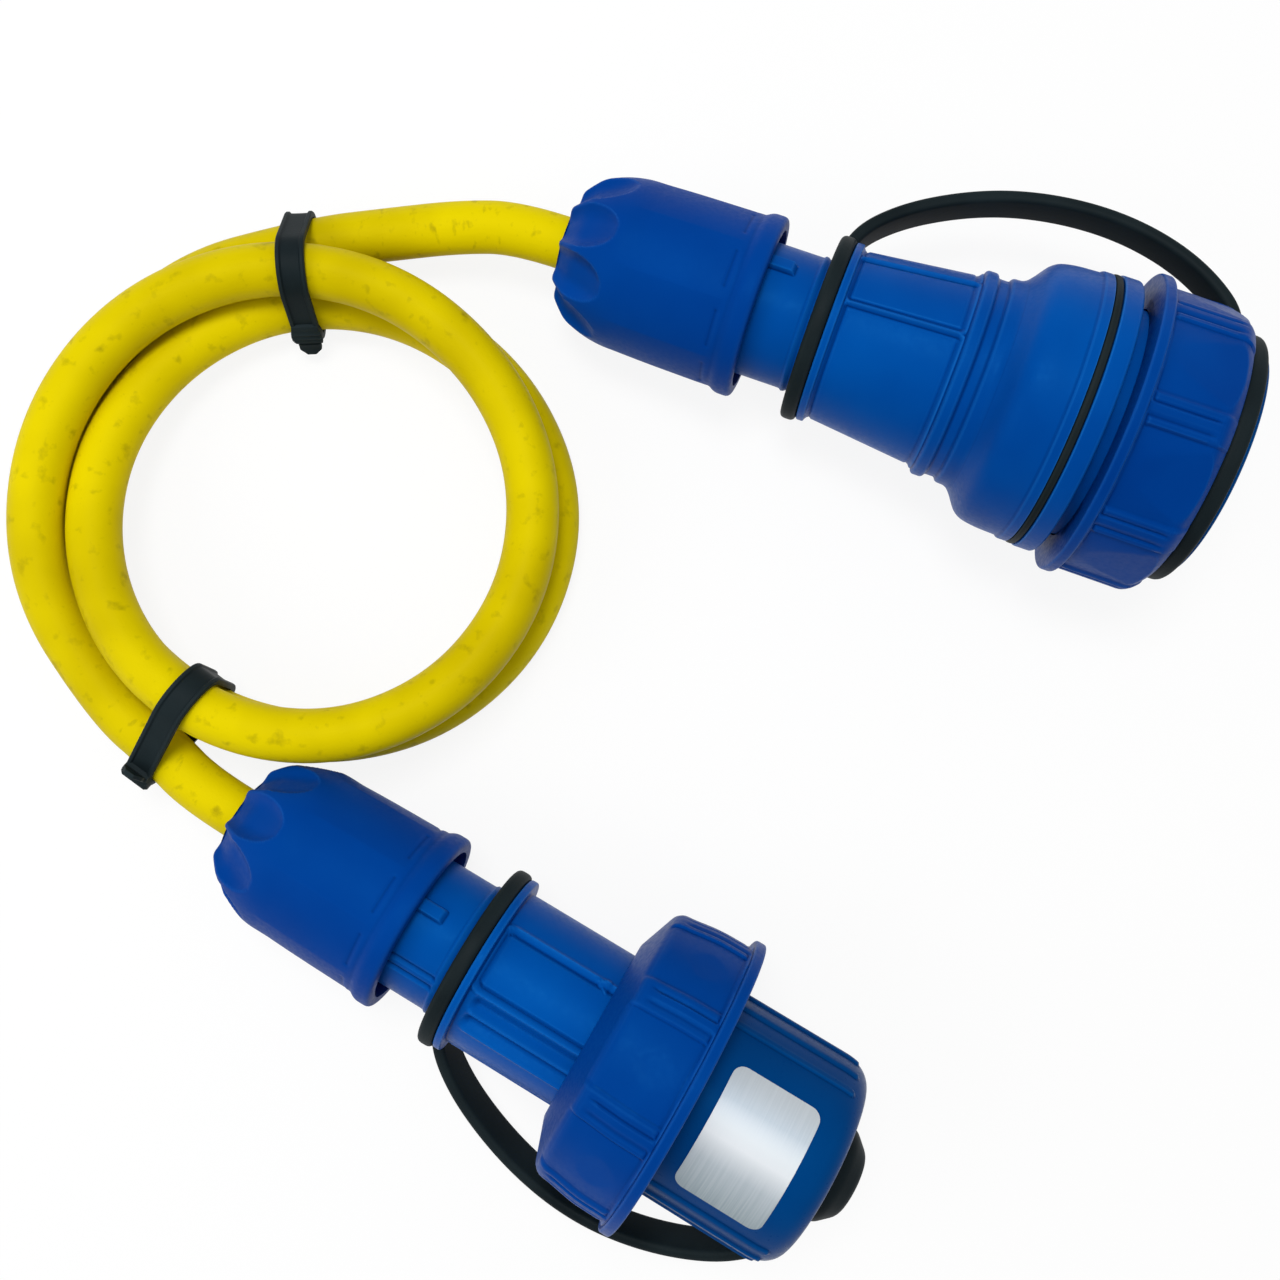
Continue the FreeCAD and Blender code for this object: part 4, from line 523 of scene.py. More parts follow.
def clasp_mesh(name, start, along, away):
    """The ridged clasp that the band runs through, swollen in its middle."""
    vertices = []
    for number in range(CLASP_ROWS):
        share = number / (CLASP_ROWS - 1)
        ridge = CLASP_RIDGE if number % 2 else 0.0
        swell = math.sin(math.pi * min(max(share, 0.04), 0.96))
        centre = start + along * (share - 0.5) * CLASP_LENGTH + away * (TIE_THICKNESS + 0.1)
        for x, y in CLASP_SECTION:
            lifted = y if y < 0 else y * swell + ridge
            vertices.append(centre.to_3d() + ACROSS_TIE * x * (0.82 + 0.18 * swell) + away.to_3d() * lifted)
    faces = end_faces(CLASP_ROWS, len(CLASP_SECTION)) + wall_faces(CLASP_ROWS, len(CLASP_SECTION), False)
    return mesh_of(name, vertices, faces)


def tail_mesh(name, start, along, away, length, lift):
    """The band's free end past the clasp, narrowed towards its tip and bent away from the coil."""
    frames = []
    for number in range(TAIL_ROWS):
        share = number / (TAIL_ROWS - 1)
        bend = lift * share * share
        point = start + along * (TAIL_START + length * share) + away * (TIE_THICKNESS + 0.6 + bend)
        narrow = 1.0 - 0.55 * max(share - 0.6, 0) / 0.4
        rising = (along * length + away * 2 * lift * share).normalized()
        normal = Vector((rising.y, -rising.x))
        frames.append((point.to_3d(), ACROSS_TIE * narrow, normal.to_3d()))
    return swept(name, frames, TAIL_SECTION, False)


def add_tie(node, angle, turn, tail_at, tail_length, tail_lift):
    """A band round the strands at an angle of the coil, with a ridged clasp and a tail at an angle."""
    angle, tail_at = math.radians(angle), math.radians(tail_at)
    radial = Vector((math.cos(angle), math.sin(angle), 0))
    round_coil = Vector((-math.sin(angle), math.cos(angle), 0))
    heading = Matrix.Rotation(math.radians(turn), 3, "Z") @ round_coil
    up = Vector((0, 0, 1))
    outward = heading.cross(up).normalized()
    origin = COIL_MIDDLE + radial * TIE_MIDDLE
    lay = Matrix.LocRotScale(origin, Matrix((outward, up, outward.cross(up))).transposed(), None)
    line = belt_line(strands_at(origin, heading, outward), TIE_INNER)
    frames = [(point.to_3d(), ACROSS_TIE, away.to_3d()) for point, away in line]
    tail_way = Vector((math.cos(tail_at), math.sin(tail_at)))
    start, away = min(line, key=lambda pair: -pair[1].dot(tail_way))
    along = Vector((-away.y, away.x))
    name = node + "_band"
    mesh = joined(name, [
        swept(name, frames, TIE_SECTION, True),
        clasp_mesh(name + "_clasp", start, along, away),
        tail_mesh(name + "_tail", start, along, away, tail_length, tail_lift),
    ])
    mesh.transform(lay @ Matrix.Scale(MM, 4))
    for vertex in mesh.vertices:
        vertex.co.z = max(vertex.co.z, FLOOR_GAP)
    finish_shell(mesh, black_rubber, TIE_SHARP)
    piece = add_piece(name, mesh)
    stands_for(piece, "cord_set", "black_rubber", node)
    return piece


ties = [add_tie("upper_tie", 92.5, 1.0, 168, 3.0, 0.9), add_tie("lower_tie", 239.0, -6.0, 18, 4.6, 1.4)]


# Gland nuts: a domed nut of blue plastic is screwed over each neck and squeezes the seal on the cable.
# Nine finger scoops run round its cable end, with crisp ridges between them, and a bead round its mouth.

NUT_SCOOPS = 9
NUT_PITCH = 360 / NUT_SCOOPS
SCOOP_WIDTH = 18.3
SCOOP_DEPTH = 2.7
SCOOP_START = 2.6
SCOOP_LENGTH = 9.6
CORNER_STEPS = 5
FINE = 0.5
COARSE = 2.5
NUT_RAYS = 40
SOCKET_NUT_TURN = 89.0
PLUG_NUT_TURN = 75.5
WELD = 2e-6
SECTOR_INPUTS = [
    ("Sector", "Geometry"), ("Count", "Int"), ("Turn", "Float"), ("Place", "Vector"), ("Lean", "Vector"),
    ("Finish", "Material"),
]


def rounded_outline(corners):
    """Points along straight runs, with each corner that has a third number cut off round by as much."""
    points = []
    for number, corner in enumerate(corners):
        here = Vector(corner[:2])
        if len(corner) < 3 or number in (0, len(corners) - 1):
            points.append(here)
            continue
        before, after = (Vector(corners[number + shift][:2]) - here for shift in (-1, 1))
        cut = min(corner[2], before.length * 0.49, after.length * 0.49)
        start, end = here + before.normalized() * cut, here + after.normalized() * cut
        for step in range(CORNER_STEPS + 1):
            share = step / CORNER_STEPS
            points.append(start.lerp(here, share).lerp(here.lerp(end, share), share))
    return points


def divided(points, longest):
    """The same line with no run longer than a length."""
    line = [points[0]]
    for before, after in zip(points, points[1:]):
        count = max(1, math.ceil((after - before).length / longest))
        line += [before.lerp(after, step / count) for step in range(1, count + 1)]
    return line


def turned_mesh(name, outside, inside, ray_count, lift=None, hollow=None, first=0.0, last=360.0, fine=FINE):
    """A closed shell turned about a head's axis. Its outside line runs forward and its inside line back.

    A lift or hollow gives how far the outside or inside stands out at a radius, station and azimuth."""
    line = [(point, lift) for point in divided(rounded_outline(outside), fine)]
    line += [(point, hollow) for point in divided(rounded_outline(inside), fine if hollow else COARSE)]
    whole = last - first > 359.9
    rays = [first + (last - first) * number / ray_count for number in range(ray_count + (not whole))]
    spokes = [(ray, math.cos(math.radians(ray)), math.sin(math.radians(ray))) for ray in rays]
    vertices = []
    for (radius, station), shape in line:
        for ray, x, y in spokes:
            reach = radius + shape(radius, station, ray) if shape else radius
            vertices.append((x * reach * MM, y * reach * MM, station * MM))
    on_axis = [point.x < 1e-6 for point, shape in line]
    skipped = [row for row in range(len(line)) if on_axis[row] and on_axis[(row + 1) % len(line)]]
    return mesh_of(name, vertices, wall_faces(len(line), len(rays), True, whole, skipped), False)


def bell(distance, width):
    """A smooth bump: one in the middle, and nought from a width on."""
    share = min(abs(distance) / width, 1)
    return (1 - share * share) ** 2


def rise(value, middle, width):
    """A smooth step from nought to one over a width."""
    share = min(max((value - middle) / width + 0.5, 0), 1)
    return share * share * (3 - 2 * share)


def off_from(angle, middle, pitch=360.0):
    """The angle from the nearest of the places that repeat at a pitch."""
    return (angle - middle + pitch / 2) % pitch - pitch / 2


def blue_plastic(name, deep, bright, gloss):
    """Moulded blue polyamide: an even blue with slow changes of shade and a fine grain; paler corners that are
    partly wear and partly painted highlight, and painted shade in its creases.
    """
    material, tree, shader = new_material(name)
    place = place_of(tree)
    colour = ramp_of(tree, noise_of(tree, place, 30, 3.0), [(0.3, deep), (0.7, bright)])
    # Paler corners: partly wear, partly a painted highlight on the edges that stand out.
    pale = (0.01, bright[1] * 1.9, bright[2] * 1.35)
    colour = laid_over(tree, edge_share(tree, 0.08, 0.9, 0.55), colour, pale)
    # Painted shade: creases and the borders of sunk panels are darkened where shade would gather.
    painted_crease_shade = (0.0, deep[1] * 0.35, deep[2] * 0.45)
    colour = laid_over(tree, edge_share(tree, -0.06, -0.6, 0.75), colour, painted_crease_shade)
    speck = noise_of(tree, place, 1100, 3.0)
    feed(tree, shader, {
        "Base Color": colour, "Roughness": level_of(tree, speck, 0.3, 0.7, gloss, gloss + 0.16),
        "Specular IOR Level": 0.09, "Specular Tint": (0.05, 0.45, 1.0, 1)})
    grain(tree, shader, noise_of(tree, place, 1700, 2.0), 0.00004, 0.18)
    return material


def sectors_tree():
    """Copies a sector round a head's axis, welds the copies, lays them on the head and paints them."""
    tree = bpy.data.node_groups.new("sectors_round_axis", "GeometryNodeTree")
    sockets = {}
    for name, kind in SECTOR_INPUTS:
        socket = tree.interface.new_socket(name, in_out="INPUT", socket_type="NodeSocket" + kind)
        sockets[name] = socket.identifier
    tree.interface.new_socket("Whole", in_out="OUTPUT", socket_type="NodeSocketGeometry")
    given = add_node(tree, "NodeGroupInput").outputs
    result = add_node(tree, "NodeGroupOutput")
    points = add_node(tree, "GeometryNodePoints", {"Count": given["Count"]})
    step = add_node(tree, "ShaderNodeMath", {0: math.tau, 1: given["Count"]}, operation="DIVIDE")
    number = add_node(tree, "GeometryNodeInputIndex").outputs[0]
    turned = add_node(tree, "ShaderNodeMath", {0: number, 1: step.outputs[0], 2: given["Turn"]},
                      operation="MULTIPLY_ADD")
    about = add_node(tree, "ShaderNodeCombineXYZ", {"Z": turned.outputs[0]})
    facing = add_node(tree, "FunctionNodeEulerToRotation", {0: about.outputs[0]})
    copies = add_node(tree, "GeometryNodeInstanceOnPoints", {
        "Points": points.outputs[0], "Instance": given["Sector"], "Rotation": facing.outputs[0]})
    real = add_node(tree, "GeometryNodeRealizeInstances", {0: copies.outputs[0]})
    weld = add_node(tree, "GeometryNodeMergeByDistance", {"Geometry": real.outputs[0], "Distance": WELD})
    lean = add_node(tree, "FunctionNodeEulerToRotation", {0: given["Lean"]})
    lay = add_node(tree, "GeometryNodeTransform", {
        "Geometry": weld.outputs[0], "Translation": given["Place"], "Rotation": lean.outputs[0]})
    paint = add_node(tree, "GeometryNodeSetMaterial", {
        "Geometry": lay.outputs[0], "Material": given["Finish"]})
    feed(tree, result, {0: paint.outputs[0]})
    return tree, sockets


def nut_lift(radius, station, angle):
    """Scoops, the slight facets between their ridges, and the short line behind the bead."""
    off = off_from(angle, 0, NUT_PITCH)
    reach = min(max((station - SCOOP_START) / SCOOP_LENGTH, 0), 1)
    width = SCOOP_WIDTH * math.sqrt(max(1 - reach * reach, 0))
    scoop = 0.0
    if abs(off) < width:
        scoop = SCOOP_DEPTH * (1 - reach ** 2.6) * (1 - (abs(off) / width) ** 4)
    scoop *= rise(radius, 10.2, 3.0)
    facet = 0.3 * (1 - (off / (NUT_PITCH / 2)) ** 2) * rise(station, 15, 6) * rise(-station, -37, 1.5)
    line = 0.2 * bell(station - 36.4, 0.8) * rise(-abs(off), -13, 3) * rise(radius, 17.5, 0.4)
    return -scoop - facet - line


nut_blue = blue_plastic("nut_blue", (0.0, 0.034, 0.222), (0.0, 0.046, 0.272), 0.40)
tree, sockets = sectors_tree()
NUT_OUTSIDE = [
    (7.4, 0.7), (8.3, 0.0, 0.5), (11.4, 0.0, 1.0), (13.2, 1.6, 0.9), (15.5, 3.9, 1.6), (17.3, 8.6, 2.6),
    (18.1, 13.0, 3.0), (18.5, 24.0, 4.0), (18.7, 36.5, 1.5), (18.55, 38.3, 0.5), (19.5, 39.9, 0.9),
    (19.5, 43.3, 1.7), (16.9, 43.3, 0.9),
]
NUT_INSIDE = [(16.9, 43.3), (16.9, 36.5, 0.5), (14.25, 36.5), (14.25, 15.0), (13.2, 15.0), (13.2, 5.0),
              (7.4, 5.0), (7.4, 0.7)]
for name, head, turn in (("plug", PLUG, PLUG_NUT_TURN), ("socket", SOCKET, SOCKET_NUT_TURN)):
    sector = turned_mesh(name + "_nut_sector", NUT_OUTSIDE, NUT_INSIDE, NUT_RAYS, nut_lift,
                         first=-NUT_PITCH / 2, last=NUT_PITCH / 2)
    nut = add_piece(name + "_nut_shell", sector)
    modifier = nut.modifiers.new("sectors", "NODES")
    modifier.node_group = tree
    modifier[sockets["Count"]] = NUT_SCOOPS
    modifier[sockets["Turn"]] = math.radians(turn)
    modifier[sockets["Place"]] = head.translation
    modifier[sockets["Lean"]] = head.to_euler()
    modifier[sockets["Finish"]] = nut_blue
    shell = plain_mesh(nut)
    nut.modifiers.clear()
    nut.data = shell
    finish_shell(shell, nut_blue)
    stands_for(nut, name + "_nut", "blue_shell", name + "_gland_nut")


# Housings: the plug's and the socket's shells, each one blue moulding with its neck, tether seat and
# handle. The plug's handle has three sunk panels and two finger grooves, and the socket's has four
# framed panels.

PANEL_STEP = 0.55
NECK = [
    (11.5, 15.0), (14.2, 15.0, 0.6), (14.2, 58.3, 0.15), (19.2, 58.3, 0.5), (19.2, 60.0, 0.5),
]
NECK_INSIDE = [(14.0, 64.0), (11.5, 64.0), (11.5, 15.0)]
LUG_TURN = 66.0
LUG_HALF_ANGLE = 5.4
PLUG_PANEL_TURN = 72.6
PLUG_GROOVES = (105.5, 120.5)
PLUG_RIBS = (112.8, 128.5)
SOCKET_PANELS = ((65.5, 18.6), (155.5, 68.7), (245.5, 18.6), (335.5, 68.7))
PLUG_PANEL_HALF_ANGLE = math.radians(22.6)
NECK_GROOVES = (112.0, 121.5)
ARROW_TURN = 49.6
LOCK_TURN = 157.0
LOCK_PITCH = 120
LOCK_HALF_ANGLE = 9.5


def outside_of(across, along, half_width, half_length, corner):
    """How far a point lies outside a rounded rectangle; inside it the distance is below nought."""
    x, y = abs(across) - half_width + corner, abs(along) - half_length + corner
    return math.hypot(max(x, 0), max(y, 0)) + min(max(x, y), 0) - corner


def neck_lift(station, angle):
    """The small lug in front of the nut and the thin bead behind the tether."""
    off = abs(off_from(angle, LUG_TURN))
    lug = 1.2 * rise(-off, -LUG_HALF_ANGLE, 1.4) * rise(station, 40, 1) * rise(-station, -48.3, 0.5)
    bead = 0.45 * bell(station - 53.4, 0.8)
    return lug + bead


def plug_housing_lift(radius, station, angle):
    """The plug handle's framed panels, arrow mark and finger grooves."""
    if station < 57:
        grooves = sum(0.6 * bell(off_from(angle, turn), 3.2) for turn in NECK_GROOVES)
        return neck_lift(station, angle) - grooves * rise(-station, -53.0, 1.0)
    if radius > 18 or station > 87:
        return 0.0
    across = math.radians(off_from(angle, PLUG_PANEL_TURN, 120)) * radius
    edge = outside_of(across, station - 74.0, PLUG_PANEL_HALF_ANGLE * radius, 13.4, 1.6)
    panel = -0.55 * rise(-edge, 0, PANEL_STEP) - 0.45 * bell(edge + 0.5, 0.65) + 0.3 * bell(edge - 0.85, 0.6)
    turn = off_from(angle, PLUG_PANEL_TURN)
    run = rise(station, 61.9, 1.6)
    grooves = sum(1.5 * bell(turn + PLUG_PANEL_TURN - middle, 6.4) for middle in PLUG_GROOVES)
    ribs = sum(0.45 * bell(turn + PLUG_PANEL_TURN - middle, 2.8) for middle in PLUG_RIBS)
    arrow_across = abs(math.radians(off_from(angle, ARROW_TURN)) * radius)
    arrow = 0.45 * rise((station - 80.4) * 0.55 - arrow_across, 0, 0.5) * rise(-station, -83.0, 0.5)
    return panel + arrow + (ribs - grooves) * run


def socket_housing_lift(radius, station, angle):
    """The socket handle's framed panels, and the bayonet lugs on its barrel."""
    if station < 57:
        return neck_lift(station, angle)
    if 60 < station < 85.2 and radius < 21.4:
        edge = min(outside_of(math.radians(off_from(angle, middle)) * radius, station - 72.3,
                              math.radians(half_angle) * radius, 11.9, 0.8)
                   for middle, half_angle in SOCKET_PANELS)
        return 0.22 * bell(edge - 0.45, 0.5) - 0.3 * rise(-edge, 0, PANEL_STEP) - 0.3 * bell(edge + 0.4, 0.5)
    if 124 < station < 128.5 and 23.9 < radius < 24.3:
        off = abs(off_from(angle, LOCK_TURN, LOCK_PITCH))
        lug = 2.0 * rise(-off, -LOCK_HALF_ANGLE, 1.2)
        return lug * rise(station, 124.5, 0.5) * rise(-station, -127.9, 0.5)
    return 0.0


def add_shell(name, head, outside, inside, rays, paint, body, slot, node, lift=None, hollow=None):
    """A turned shell laid on its head, with its paint, its body and the node that it replaces."""
    mesh = turned_mesh(name, outside, inside, rays, lift, hollow)
    mesh.transform(head)
    finish_shell(mesh, paint)
    stands_for(add_piece(name, mesh), body, slot, node)


housing_blue = blue_plastic("housing_blue", (0.0, 0.050, 0.270), (0.0, 0.074, 0.350), 0.32)
add_shell("plug_housing_shell", PLUG, NECK + [
    (16.7, 60.0, 0.4), (16.7, 88.5, 1.6), (25.6, 88.5, 0.5), (25.6, 91.5, 0.5), (14.0, 91.5)],
    NECK_INSIDE, 260, housing_blue, "cord_set", "blue_shell", "plug_housing", plug_housing_lift)
add_shell("socket_housing_shell", SOCKET, NECK + [
    (18.3, 60.0, 0.4), (20.9, 84.9, 0.3), (22.1, 85.3, 0.8), (22.1, 87.6, 0.8), (21.2, 88.1, 0.4),
    (21.2, 90.3, 0.4), (22.1, 90.8, 0.8), (22.2, 93.2, 1.0), (23.6, 94.6, 1.0), (27.5, 97.4, 2.4),
    (28.3, 101.5, 2.0), (28.5, 106.6, 0.4), (28.95, 107.1, 0.3), (28.95, 109.0, 0.2), (27.3, 109.0, 0.1),
    (27.3, 110.8, 0.1), (29.3, 110.8, 0.4), (29.3, 114.8, 0.8), (24.2, 114.8, 0.4), (24.2, 130.2, 0.6),
    (19.5, 130.2, 0.4)],
    [(19.5, 130.2), (19.5, 98.7), (15.2, 98.7), (15.2, 64.0)] + NECK_INSIDE[1:], 340,
    housing_blue, "cord_set", "blue_shell", "socket_housing", socket_housing_lift)


# Coupling rings: one blue ring turns on the plug and one on the lid, and each locks on three bayonet
# lugs. Eight sunk panels run round it up to the rim at its mouth, each with a slanted flat for the thumb.

RING_RAYS = 400
PANEL_PITCH = 45.0
PANEL_HALF_ANGLE = math.radians(16.5)
LINE_HALF_ANGLE = math.radians(20.0)
PANEL_DEPTH = 0.6
PANEL_GAP = 0.7
PANEL_OVERRUN = 2.0
PLUG_RING_TURN = 79.8
LID_RING_TURN = 118.6
RING_RADIUS = 30.8
FLAT_DEPTH = 1.66
FLAT_TILT = math.radians(4.2)
SLOT_HALF_ANGLE = 13.0


def ring_lift(radius, station, angle, shoulder, rim, middle):
    """The panels, the lines beside them and the slanted flats of a ring, from its shoulder to its rim."""
    if radius < 20 or radius > RING_RADIUS + 0.05:
        return 0.0
    along = abs(station - shoulder) * (1 if (station - shoulder) * (rim - shoulder) > 0 else -1)
    length = abs(rim - shoulder)
    off = off_from(angle, middle, PANEL_PITCH)
    across = math.radians(off) * radius
    beyond = along - (length - PANEL_GAP) / 2 + PANEL_OVERRUN
    half_length = (length - PANEL_GAP) / 2 + PANEL_OVERRUN
    panel_edge = outside_of(across, beyond, PANEL_HALF_ANGLE * radius, half_length, 0.5)
    line_edge = outside_of(across, beyond, LINE_HALF_ANGLE * radius, half_length, 0.3)
    near_shoulder = rise(along, 1.5, 3.0)
    low = PANEL_DEPTH * rise(-panel_edge, 0, 0.5)
    low += 0.42 * bell(line_edge, 0.55) * near_shoulder + 0.12 * rise(-line_edge, 0, 0.5) * near_shoulder
    surface = radius - low * rise(radius, 28.0, 2.0)
    flat = (RING_RADIUS - FLAT_DEPTH + along * math.tan(FLAT_TILT)) / math.cos(math.radians(off))
    return min(surface, flat) - radius


def slot_hollow(radius, station, angle, low, high):
    """The three slots that let the lugs in through the lip between two stations."""
    if not low - 0.05 <= station <= high + 0.05 or radius > 25.4:
        return 0.0
    off = abs(off_from(angle, LOCK_TURN, LOCK_PITCH))
    return (26.75 - radius) * rise(-off, -SLOT_HALF_ANGLE, 1.6)


ring_blue = blue_plastic("ring_blue", (0.0, 0.034, 0.215), (0.0, 0.050, 0.275), 0.34)
add_shell(
    "plug_coupling_ring_shell", PLUG,
    [(16.8, 84.7), (17.2, 84.5, 0.2), (19.1, 84.5, 0.5), (28.7, 88.0, 0.9), (29.5, 89.2, 0.9),
     (30.75, 97.2, 2.0), (30.8, 104.4, 0.2), (32.0, 104.4, 0.6), (32.0, 106.7, 0.6), (24.6, 106.7, 0.5)],
    [(24.6, 106.7), (24.6, 102.5, 0.3), (26.8, 102.5, 0.1), (26.8, 89.7, 0.8), (25.3, 88.2), (16.8, 88.2),
     (16.8, 84.7)],
    RING_RAYS, ring_blue, "plug_ring", "blue_shell", "plug_coupling_ring",
    lambda r, s, a: ring_lift(r, s, a, 89.1, 104.4, PLUG_RING_TURN),
    lambda r, s, a: slot_hollow(r, s, a, 102.5, 106.7))
add_shell(
    "lid_coupling_ring_shell", SOCKET,
    [(24.6, 117.7), (32.0, 117.7, 0.6), (32.0, 120.0, 0.6), (30.8, 120.0, 0.2), (30.8, 135.0, 1.6),
     (28.4, 137.3, 0.9), (22.95, 137.3)],
    [(22.95, 137.3), (22.95, 135.8), (26.8, 135.8), (26.8, 121.9, 0.1), (24.6, 121.9, 0.3), (24.6, 117.7)],
    RING_RAYS, ring_blue, "lid_ring", "blue_shell", "lid_coupling_ring",
    lambda r, s, a: ring_lift(r, s, a, 135.3, 120.0, LID_RING_TURN),
    lambda r, s, a: slot_hollow(r, s, a, 117.7, 121.9))


# Plug cap: a blue cup that covers the pins, pushed in behind the coupling ring and held by three lugs.
# Three ribs run along each side to the soft shoulder of its closed end, where a stud holds the tether.

CAP_RIBS = (4.0, 21.0, 35.5, 138.0, 151.0, 168.0)
CAP_RIB_MIDDLE = (101.5 + 133.6) / 2
CAP_RIB_HALF = (133.6 - 101.5) / 2


def cap_lift(radius, station, angle):
    """The ribs along the cap, and its bayonet lugs."""
    if radius < 21.0 or station > 136:
        return 0.0
    ribs = 0.0
    for turn in CAP_RIBS:
        across = math.radians(off_from(angle, turn)) * radius
        edge = outside_of(across, station - CAP_RIB_MIDDLE, 0.72, CAP_RIB_HALF, 0.7)
        ribs = max(ribs, 0.6 * rise(-edge, 0, 0.5))
    off = abs(off_from(angle, LOCK_TURN, LOCK_PITCH))
    lug = 4.7 * rise(-off, -LOCK_HALF_ANGLE, 1.4) * rise(station, 96.6, 0.5) * rise(-station, -99.8, 0.5)
    return ribs + lug


cap_blue = blue_plastic("cap_blue", (0.0, 0.030, 0.140), (0.0, 0.046, 0.190), 0.26)
add_shell(
    "plug_cap_shell", PLUG,
    [(19.3, 94.2), (21.5, 94.2, 0.5), (21.5, 131.8, 2.0), (20.9, 134.8, 1.6), (18.8, 137.0, 1.4),
     (4.2, 137.0, 0.3), (4.2, 142.0, 0.2), (5.4, 142.0, 0.4), (5.4, 143.4, 0.6), (0.0, 143.4)],
    [(0.0, 134.0), (19.3, 134.0, 1.5), (19.3, 94.2)],
    380, cap_blue, "pin_cap", "blue_shell", "plug_cap", cap_lift)


# Cap label: a bare plate of brushed silver foil with rounded corners, stuck round the cap's upper side.
# Its colour carries a painted highlight in one bright band round the cap, and painted shade greying towards its
# lower edge.

LABEL_FROM = 111.0
LABEL_TO = 129.4
LABEL_MIDDLE = 91.0
LABEL_HALF_ANGLE = 35.6
LABEL_INNER = 21.53
LABEL_OUTER = 21.72
LABEL_CORNER = 2.4
LABEL_COLUMNS = 70
LABEL_ROWS = 12
LABEL_SHARP = 40
CORNER_ROWS = 7
# Painted light on the foil: colours by place across the cap, a bright painted highlight band with painted shade on
# either side.
FOIL_PAINTED_SHINE = [
    (0.0, (0.22, 0.28, 0.31)), (0.30, (0.36, 0.41, 0.45)), (0.50, (0.62, 0.65, 0.68)),
    (0.60, (0.56, 0.60, 0.63)), (0.78, (0.36, 0.42, 0.48)), (1.0, (0.44, 0.48, 0.51)),
]
FOIL_BRUSHED = (0.60, 0.64, 0.67)


def label_mesh():
    """The foil as a thin curved plate. Its rows are shorter near its straight edges, for the corners."""
    half_width = math.radians(LABEL_HALF_ANGLE) * LABEL_OUTER
    length = LABEL_TO - LABEL_FROM
    quarter = [math.pi / 2 * step / CORNER_ROWS for step in range(CORNER_ROWS + 1)]
    corner = [LABEL_CORNER * (1 - math.cos(turned)) for turned in quarter]
    straight = length - 2 * LABEL_CORNER
    offsets = corner + [LABEL_CORNER + straight * step / LABEL_ROWS for step in range(1, LABEL_ROWS)]
    offsets += [length - offset for offset in reversed(corner)]
    vertices = []
    for radius in (LABEL_OUTER, LABEL_INNER):
        for offset in offsets:
            inset = max(LABEL_CORNER - min(offset, length - offset), 0)
            cut = LABEL_CORNER - math.sqrt(max(LABEL_CORNER ** 2 - inset ** 2, 0))
            reach = (half_width - cut) / LABEL_OUTER
            for column in range(LABEL_COLUMNS + 1):
                angle = math.radians(LABEL_MIDDLE) + reach * (2 * column / LABEL_COLUMNS - 1)
                vertices.append((radius * math.cos(angle) * MM, radius * math.sin(angle) * MM,
                                 (LABEL_FROM + offset) * MM))
    rows, columns = len(offsets), LABEL_COLUMNS + 1
    faces = wall_faces(rows, columns, False, False)
    faces += [tuple(point + rows * columns for point in face) for face in faces]
    border = [(0, column) for column in range(columns)] + [(row, columns - 1) for row in range(1, rows)]
    border += [(rows - 1, column) for column in range(columns - 2, -1, -1)]
    border += [(row, 0) for row in range(rows - 2, 0, -1)]
    for here, there in zip(border, border[1:] + border[:1]):
        a, b = here[0] * columns + here[1], there[0] * columns + there[1]
        faces.append((a, b, b + rows * columns, a + rows * columns))
    return mesh_of("cap_label_foil", vertices, faces)


foil, tree, shader = new_material("brushed_foil")
place = place_of(tree)
centred = add_node(tree, "ShaderNodeVectorMath", {0: place, 1: PLUG.translation}, operation="SUBTRACT")
spoke = add_node(tree, "ShaderNodeVectorMath", {
    0: centred.outputs[0], 1: PLUG.to_3x3() @ Vector((1, 0, 0))}, operation="DOT_PRODUCT")
# Painted highlight and shade: the foil's colour follows its place across the cap, brightest in one band and greyer
# towards its lower edge.
painted_shine = level_of(tree, spoke.outputs["Value"], -0.013, 0.012, 0.0, 1.0)
colour = ramp_of(tree, painted_shine, FOIL_PAINTED_SHINE)
lay = add_node(tree, "ShaderNodeMapping", {"Vector": place, "Rotation": PLUG.to_euler()},
               vector_type="TEXTURE")
brush = noise_of(tree, lay.outputs[0], 60, 4.0, (1, 1, 60))
feed(tree, shader, {
    "Base Color": laid_over(tree, level_of(tree, brush, 0.35, 0.65, 0.0, 0.22), colour, FOIL_BRUSHED),
    "Metallic": 0.35, "Roughness": level_of(tree, brush, 0.3, 0.7, 0.42, 0.58)})
grain(tree, shader, brush, 0.00002, 0.25)
foil_mesh = label_mesh()
foil_mesh.transform(PLUG)
foil_mesh.shade_smooth()
foil_mesh.set_sharp_from_angle(angle=math.radians(LABEL_SHARP))
foil_mesh.materials.append(foil)
stands_for(add_piece("cap_label_foil", foil_mesh), "pin_cap", "foil", "cap_label")


# Socket lid: a blue disc that closes the socket, with a round boss behind it for the coupling ring.
# Its face carries a flat rubber seal, and a lip keeps the tether's ring on the boss.

add_shell(
    "socket_lid_shell", SOCKET,
    [(0.0, 132.6), (26.3, 132.6, 0.4), (26.3, 135.6, 0.4), (22.9, 135.6, 0.2), (22.9, 141.3, 0.1),
     (24.2, 141.3, 0.3), (24.2, 142.1, 0.3), (18.9, 142.1, 0.6), (18.9, 140.3, 0.5), (0.0, 140.3)],
    [(0.0, 140.3)], 260, cap_blue, "lid", "lid_shell", "socket_lid")


# Seals: a flat black ring in front of the plug's shell, one on the lid's face, and an O-ring in the
# groove of the socket's collar. All are soft rubber and are pressed into their seats.

def rubber_ring(name, head, inner, outer, low, high, soft, rays):
    """A soft ring round a head's axis between two radii and two stations."""
    middle = (inner, (low + high) / 2)
    corners = [(radius, station, soft) for radius, station in (
        (inner, low), (outer, low), (outer, high), (inner, high))]
    mesh = turned_mesh(name, [middle, *corners, middle], [middle], rays, fine=0.4)
    mesh.transform(head)
    finish_shell(mesh, black_rubber)
    return mesh


